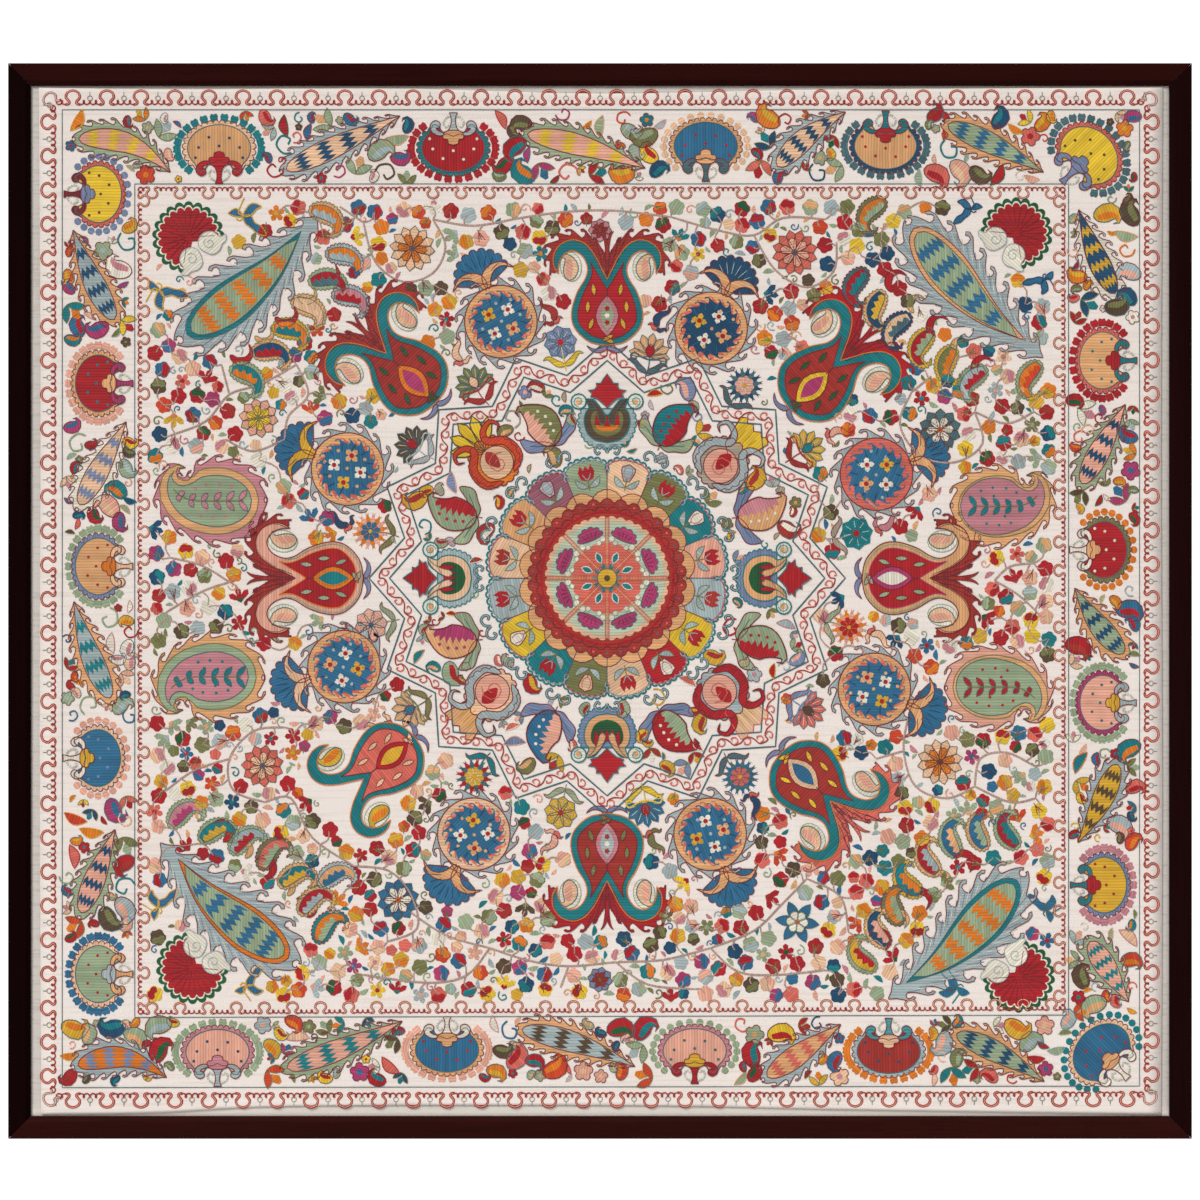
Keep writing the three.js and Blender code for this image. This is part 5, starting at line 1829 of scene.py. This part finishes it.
class EMBROIDERY_OT_cloth(bpy.types.Operator):
    """Stretches the ground cloth over the board, with its ridges, creases and hem"""

    bl_idname = "embroidery.cloth"
    bl_label = "Ground cloth"

    COLUMNS, ROWS = 79, 407

    def execute(self, context):
        sizes = context.scene.cloth_and_wood
        bpy.ops.object.select_all(action="DESELECT")
        bpy.ops.mesh.primitive_grid_add(x_subdivisions=self.COLUMNS, y_subdivisions=self.ROWS, size=2)
        cloth = context.active_object
        cloth.name = cloth.data.name = "ground_cloth"
        places = np.empty(len(cloth.data.vertices) * 3)
        cloth.data.vertices.foreach_get("co", places)
        s, t = places.reshape(-1, 3)[:, 0], places.reshape(-1, 3)[:, 1]
        x, z = cloth_place(s, t)
        creases = [noise.noise(Vector((a / CREASE_SIZE[0], b / CREASE_SIZE[1], 3.7))) for a, b in zip(x, z)]
        hem = sizes.hem_width / MM
        from_edge = np.minimum((1 - np.abs(s)) * OPENING_HALF_WIDTH, (1 - np.abs(t)) * OPENING_HALF_HEIGHT)
        raised = HEM_HEIGHT * np.clip((hem + 2 - from_edge) / 2, 0, 1)
        raised += np.array(creases) * sizes.crease_height / MM
        cloth.data.vertices.foreach_set("co", in_space(x + 1j * z, raised).ravel())
        thickness = cloth.modifiers.new("Thickness", "SOLIDIFY")
        thickness.thickness = CLOTH_THICKNESS * MM
        thickness.offset = -1
        bpy.ops.object.modifier_apply(modifier="Thickness")
        self.lay_out(cloth.data)
        bpy.ops.object.shade_smooth()
        colours = [(*colour, 1) for colour in (sizes.ground_light, sizes.ground_dark)]
        # The real thread is about half as wide, too fine to show
        cloth.data.materials.clear()
        cloth.data.materials.append(cotton_finish("ground_cotton", *colours, 0.8 * MM))
        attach(cloth, "root")
        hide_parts("embroidered_cloth")
        return {"FINISHED"}

    def lay_out(self, mesh):
        """A flat layout for the export: the front whole, and the back squeezed above it"""
        for layer in list(mesh.uv_layers):
            mesh.uv_layers.remove(layer)
        baked = mesh.uv_layers.new(name="OFBake")
        corners = np.empty(len(mesh.loops), int)
        mesh.loops.foreach_get("vertex_index", corners)
        places = np.empty(len(mesh.vertices) * 3)
        mesh.vertices.foreach_get("co", places)
        flat = places.reshape(-1, 3)[corners][:, [0, 2]]
        share = (flat - flat.min(0)) / (flat.max(0) - flat.min(0)).max()
        front_corners = self.COLUMNS * self.ROWS * 4
        spots = 0.01 + 0.98 * share
        spots[front_corners:, 1] = 0.93 + 0.06 * share[front_corners:, 1]
        baked.data.foreach_set("uv", spots.ravel())


class EMBROIDERY_OT_rosette(bpy.types.Operator):
    """Works the rosette in the middle, with its sixteen petals"""

    bl_idname = "embroidery.rosette"
    bl_label = "Rosette"

    def execute(self, context):
        stitched(context, "rosette", 11, rosette)
        return {"FINISHED"}


class EMBROIDERY_OT_star(bpy.types.Operator):
    """Works the sixteen-pointed band, and the cups, blossoms and leaves inside it"""

    bl_idname = "embroidery.star"
    bl_label = "Star"

    def execute(self, context):
        stitched(context, "star_band", 12, star_band, "outline_thread")
        stitched(context, "star_flowers", 13, within_star)
        return {"FINISHED"}


class EMBROIDERY_OT_great_ring(bpy.types.Operator):
    """Works the eight tulips and the eight pomegranates round the star"""

    bl_idname = "embroidery.great_ring"
    bl_label = "Tulips and pomegranates"

    def execute(self, context):
        tulips, fruit = Needlework(14), Needlework(15)
        great_ring(tulips, fruit)
        sewn(context, tulips, "ring_tulips")
        sewn(context, fruit, "ring_pomegranates")
        return {"FINISHED"}


class EMBROIDERY_OT_field(bpy.types.Operator):
    """Works the field round the star: flowers, paisleys, corners, vines and berries"""

    bl_idname = "embroidery.field"
    bl_label = "Field"

    def execute(self, context):
        def notches(work):
            notch_ring(work)
            side_paisleys(work)

        stitched(context, "field_flowers", 16, notches)
        almonds, paisleys = Needlework(17), Needlework(18)
        corners(almonds, paisleys)
        sewn(context, almonds, "corner_almonds")
        sewn(context, paisleys, "corner_paisleys")
        stems, fruit = Needlework(19), Needlework(20)
        vine_field(stems, fruit)
        sewn(context, stems, "vines", "outline_thread")
        sewn(context, fruit, "vine_berries")
        return {"FINISHED"}


class EMBROIDERY_OT_border(bpy.types.Operator):
    """Works the main border and its two guards"""

    bl_idname = "embroidery.border"
    bl_label = "Border"

    def execute(self, context):
        fruit, almonds, filling = Needlework(21), Needlework(22), Needlework(23)
        main_border(fruit, almonds, filling)
        sewn(context, fruit, "border_fruit")
        sewn(context, almonds, "border_almonds")
        sewn(context, filling, "border_filling")
        stitched(context, "guards", 24, guards, "outline_thread")
        return {"FINISHED"}


class EMBROIDERY_OT_stage(bpy.types.Operator):
    """Sets the camera straight in front, soft white light and a pale floor"""

    bl_idname = "embroidery.stage"
    bl_label = "Stage"

    def execute(self, context):
        sizes = context.scene.cloth_and_wood
        scene = context.scene
        scene.view_settings.view_transform = "Standard"
        camera = bpy.data.cameras.new("camera")
        seer = bpy.data.objects.new("camera", camera)
        seer.location = (0, FRAME_LOW.y - sizes.camera_distance, FRAME_MIDDLE.z + VIEW_CENTRE * MM)
        seer.rotation_euler = (math.pi / 2, 0, 0)
        camera.sensor_width = 36
        camera.lens = camera.sensor_width * sizes.camera_distance / VIEW_WIDTH
        scene.collection.objects.link(seer)
        scene.camera = seer
        key = bpy.data.lights.new("key_light", "SUN")
        key.energy = 2.5
        key.angle = math.radians(25)
        lamp = bpy.data.objects.new("key_light", key)
        lamp.rotation_euler = (math.radians(48), 0, math.radians(-35))
        scene.collection.objects.link(lamp)
        world = bpy.data.worlds.new("studio")
        world.use_nodes = True
        tree = world.node_tree
        tree.nodes.clear()
        seen = add_node(tree, "LightPath").outputs["Is Camera Ray"]
        strength = add_node(tree, "Math", [seen, 0.55, 0.5], operation="MULTIPLY_ADD")
        back = add_node(tree, "Background", {"Color": (1, 1, 1, 1), "Strength": strength})
        add_node(tree, "OutputWorld", [back])
        scene.world = world
        bpy.ops.object.select_all(action="DESELECT")
        bpy.ops.mesh.primitive_plane_add(size=6, location=(0, 0, FRAME_LOW.z - 0.65))
        floor = context.active_object
        floor.name = "floor"
        finish, tree, place = new_finish("pale_floor")
        clouds = speckle(tree, place, 0.2)
        colour = add_node(tree, "Mix", {0: clouds, 6: "#E6E6E6", 7: "#F2F2F2"}, data_type="RGBA").outputs[2]
        shader = add_node(tree, "BsdfPrincipled", {"Base Color": colour, "Roughness": 0.8})
        add_node(tree, "OutputMaterial", [shader])
        floor.data.materials.append(finish)
        return {"FINISHED"}


OPERATORS = (
    EMBROIDERY_OT_rails, EMBROIDERY_OT_mount_board, EMBROIDERY_OT_cloth, EMBROIDERY_OT_rosette,
    EMBROIDERY_OT_star, EMBROIDERY_OT_great_ring, EMBROIDERY_OT_field, EMBROIDERY_OT_border,
    EMBROIDERY_OT_stage,
)


class EMBROIDERY_PT_panel(bpy.types.Panel):
    """Lists the steps, the silks and the sizes"""

    bl_label = "Framed embroidery"
    bl_idname = "EMBROIDERY_PT_panel"
    bl_space_type = "VIEW_3D"
    bl_region_type = "UI"
    bl_category = "Embroidery"

    def draw(self, context):
        for step in OPERATORS:
            self.layout.operator(step.bl_idname)
        for group, kind in (
            (context.scene.cloth_and_wood, ClothAndWood), (context.scene.silk_colours, SilkColours)
        ):
            for name in kind.__annotations__:
                self.layout.prop(group, name)


CLASSES = (SilkColours, ClothAndWood, *OPERATORS, EMBROIDERY_PT_panel)


def register():
    for made in CLASSES:
        bpy.utils.register_class(made)
    bpy.types.Scene.silk_colours = PointerProperty(type=SilkColours)
    bpy.types.Scene.cloth_and_wood = PointerProperty(type=ClothAndWood)


def unregister():
    del bpy.types.Scene.cloth_and_wood
    del bpy.types.Scene.silk_colours
    for made in reversed(CLASSES):
        bpy.utils.unregister_class(made)


def main():
    register()
    for step in OPERATORS:
        group, name = step.bl_idname.split(".")
        getattr(getattr(bpy.ops, group), name)()


if __name__ == "__main__":
    main()
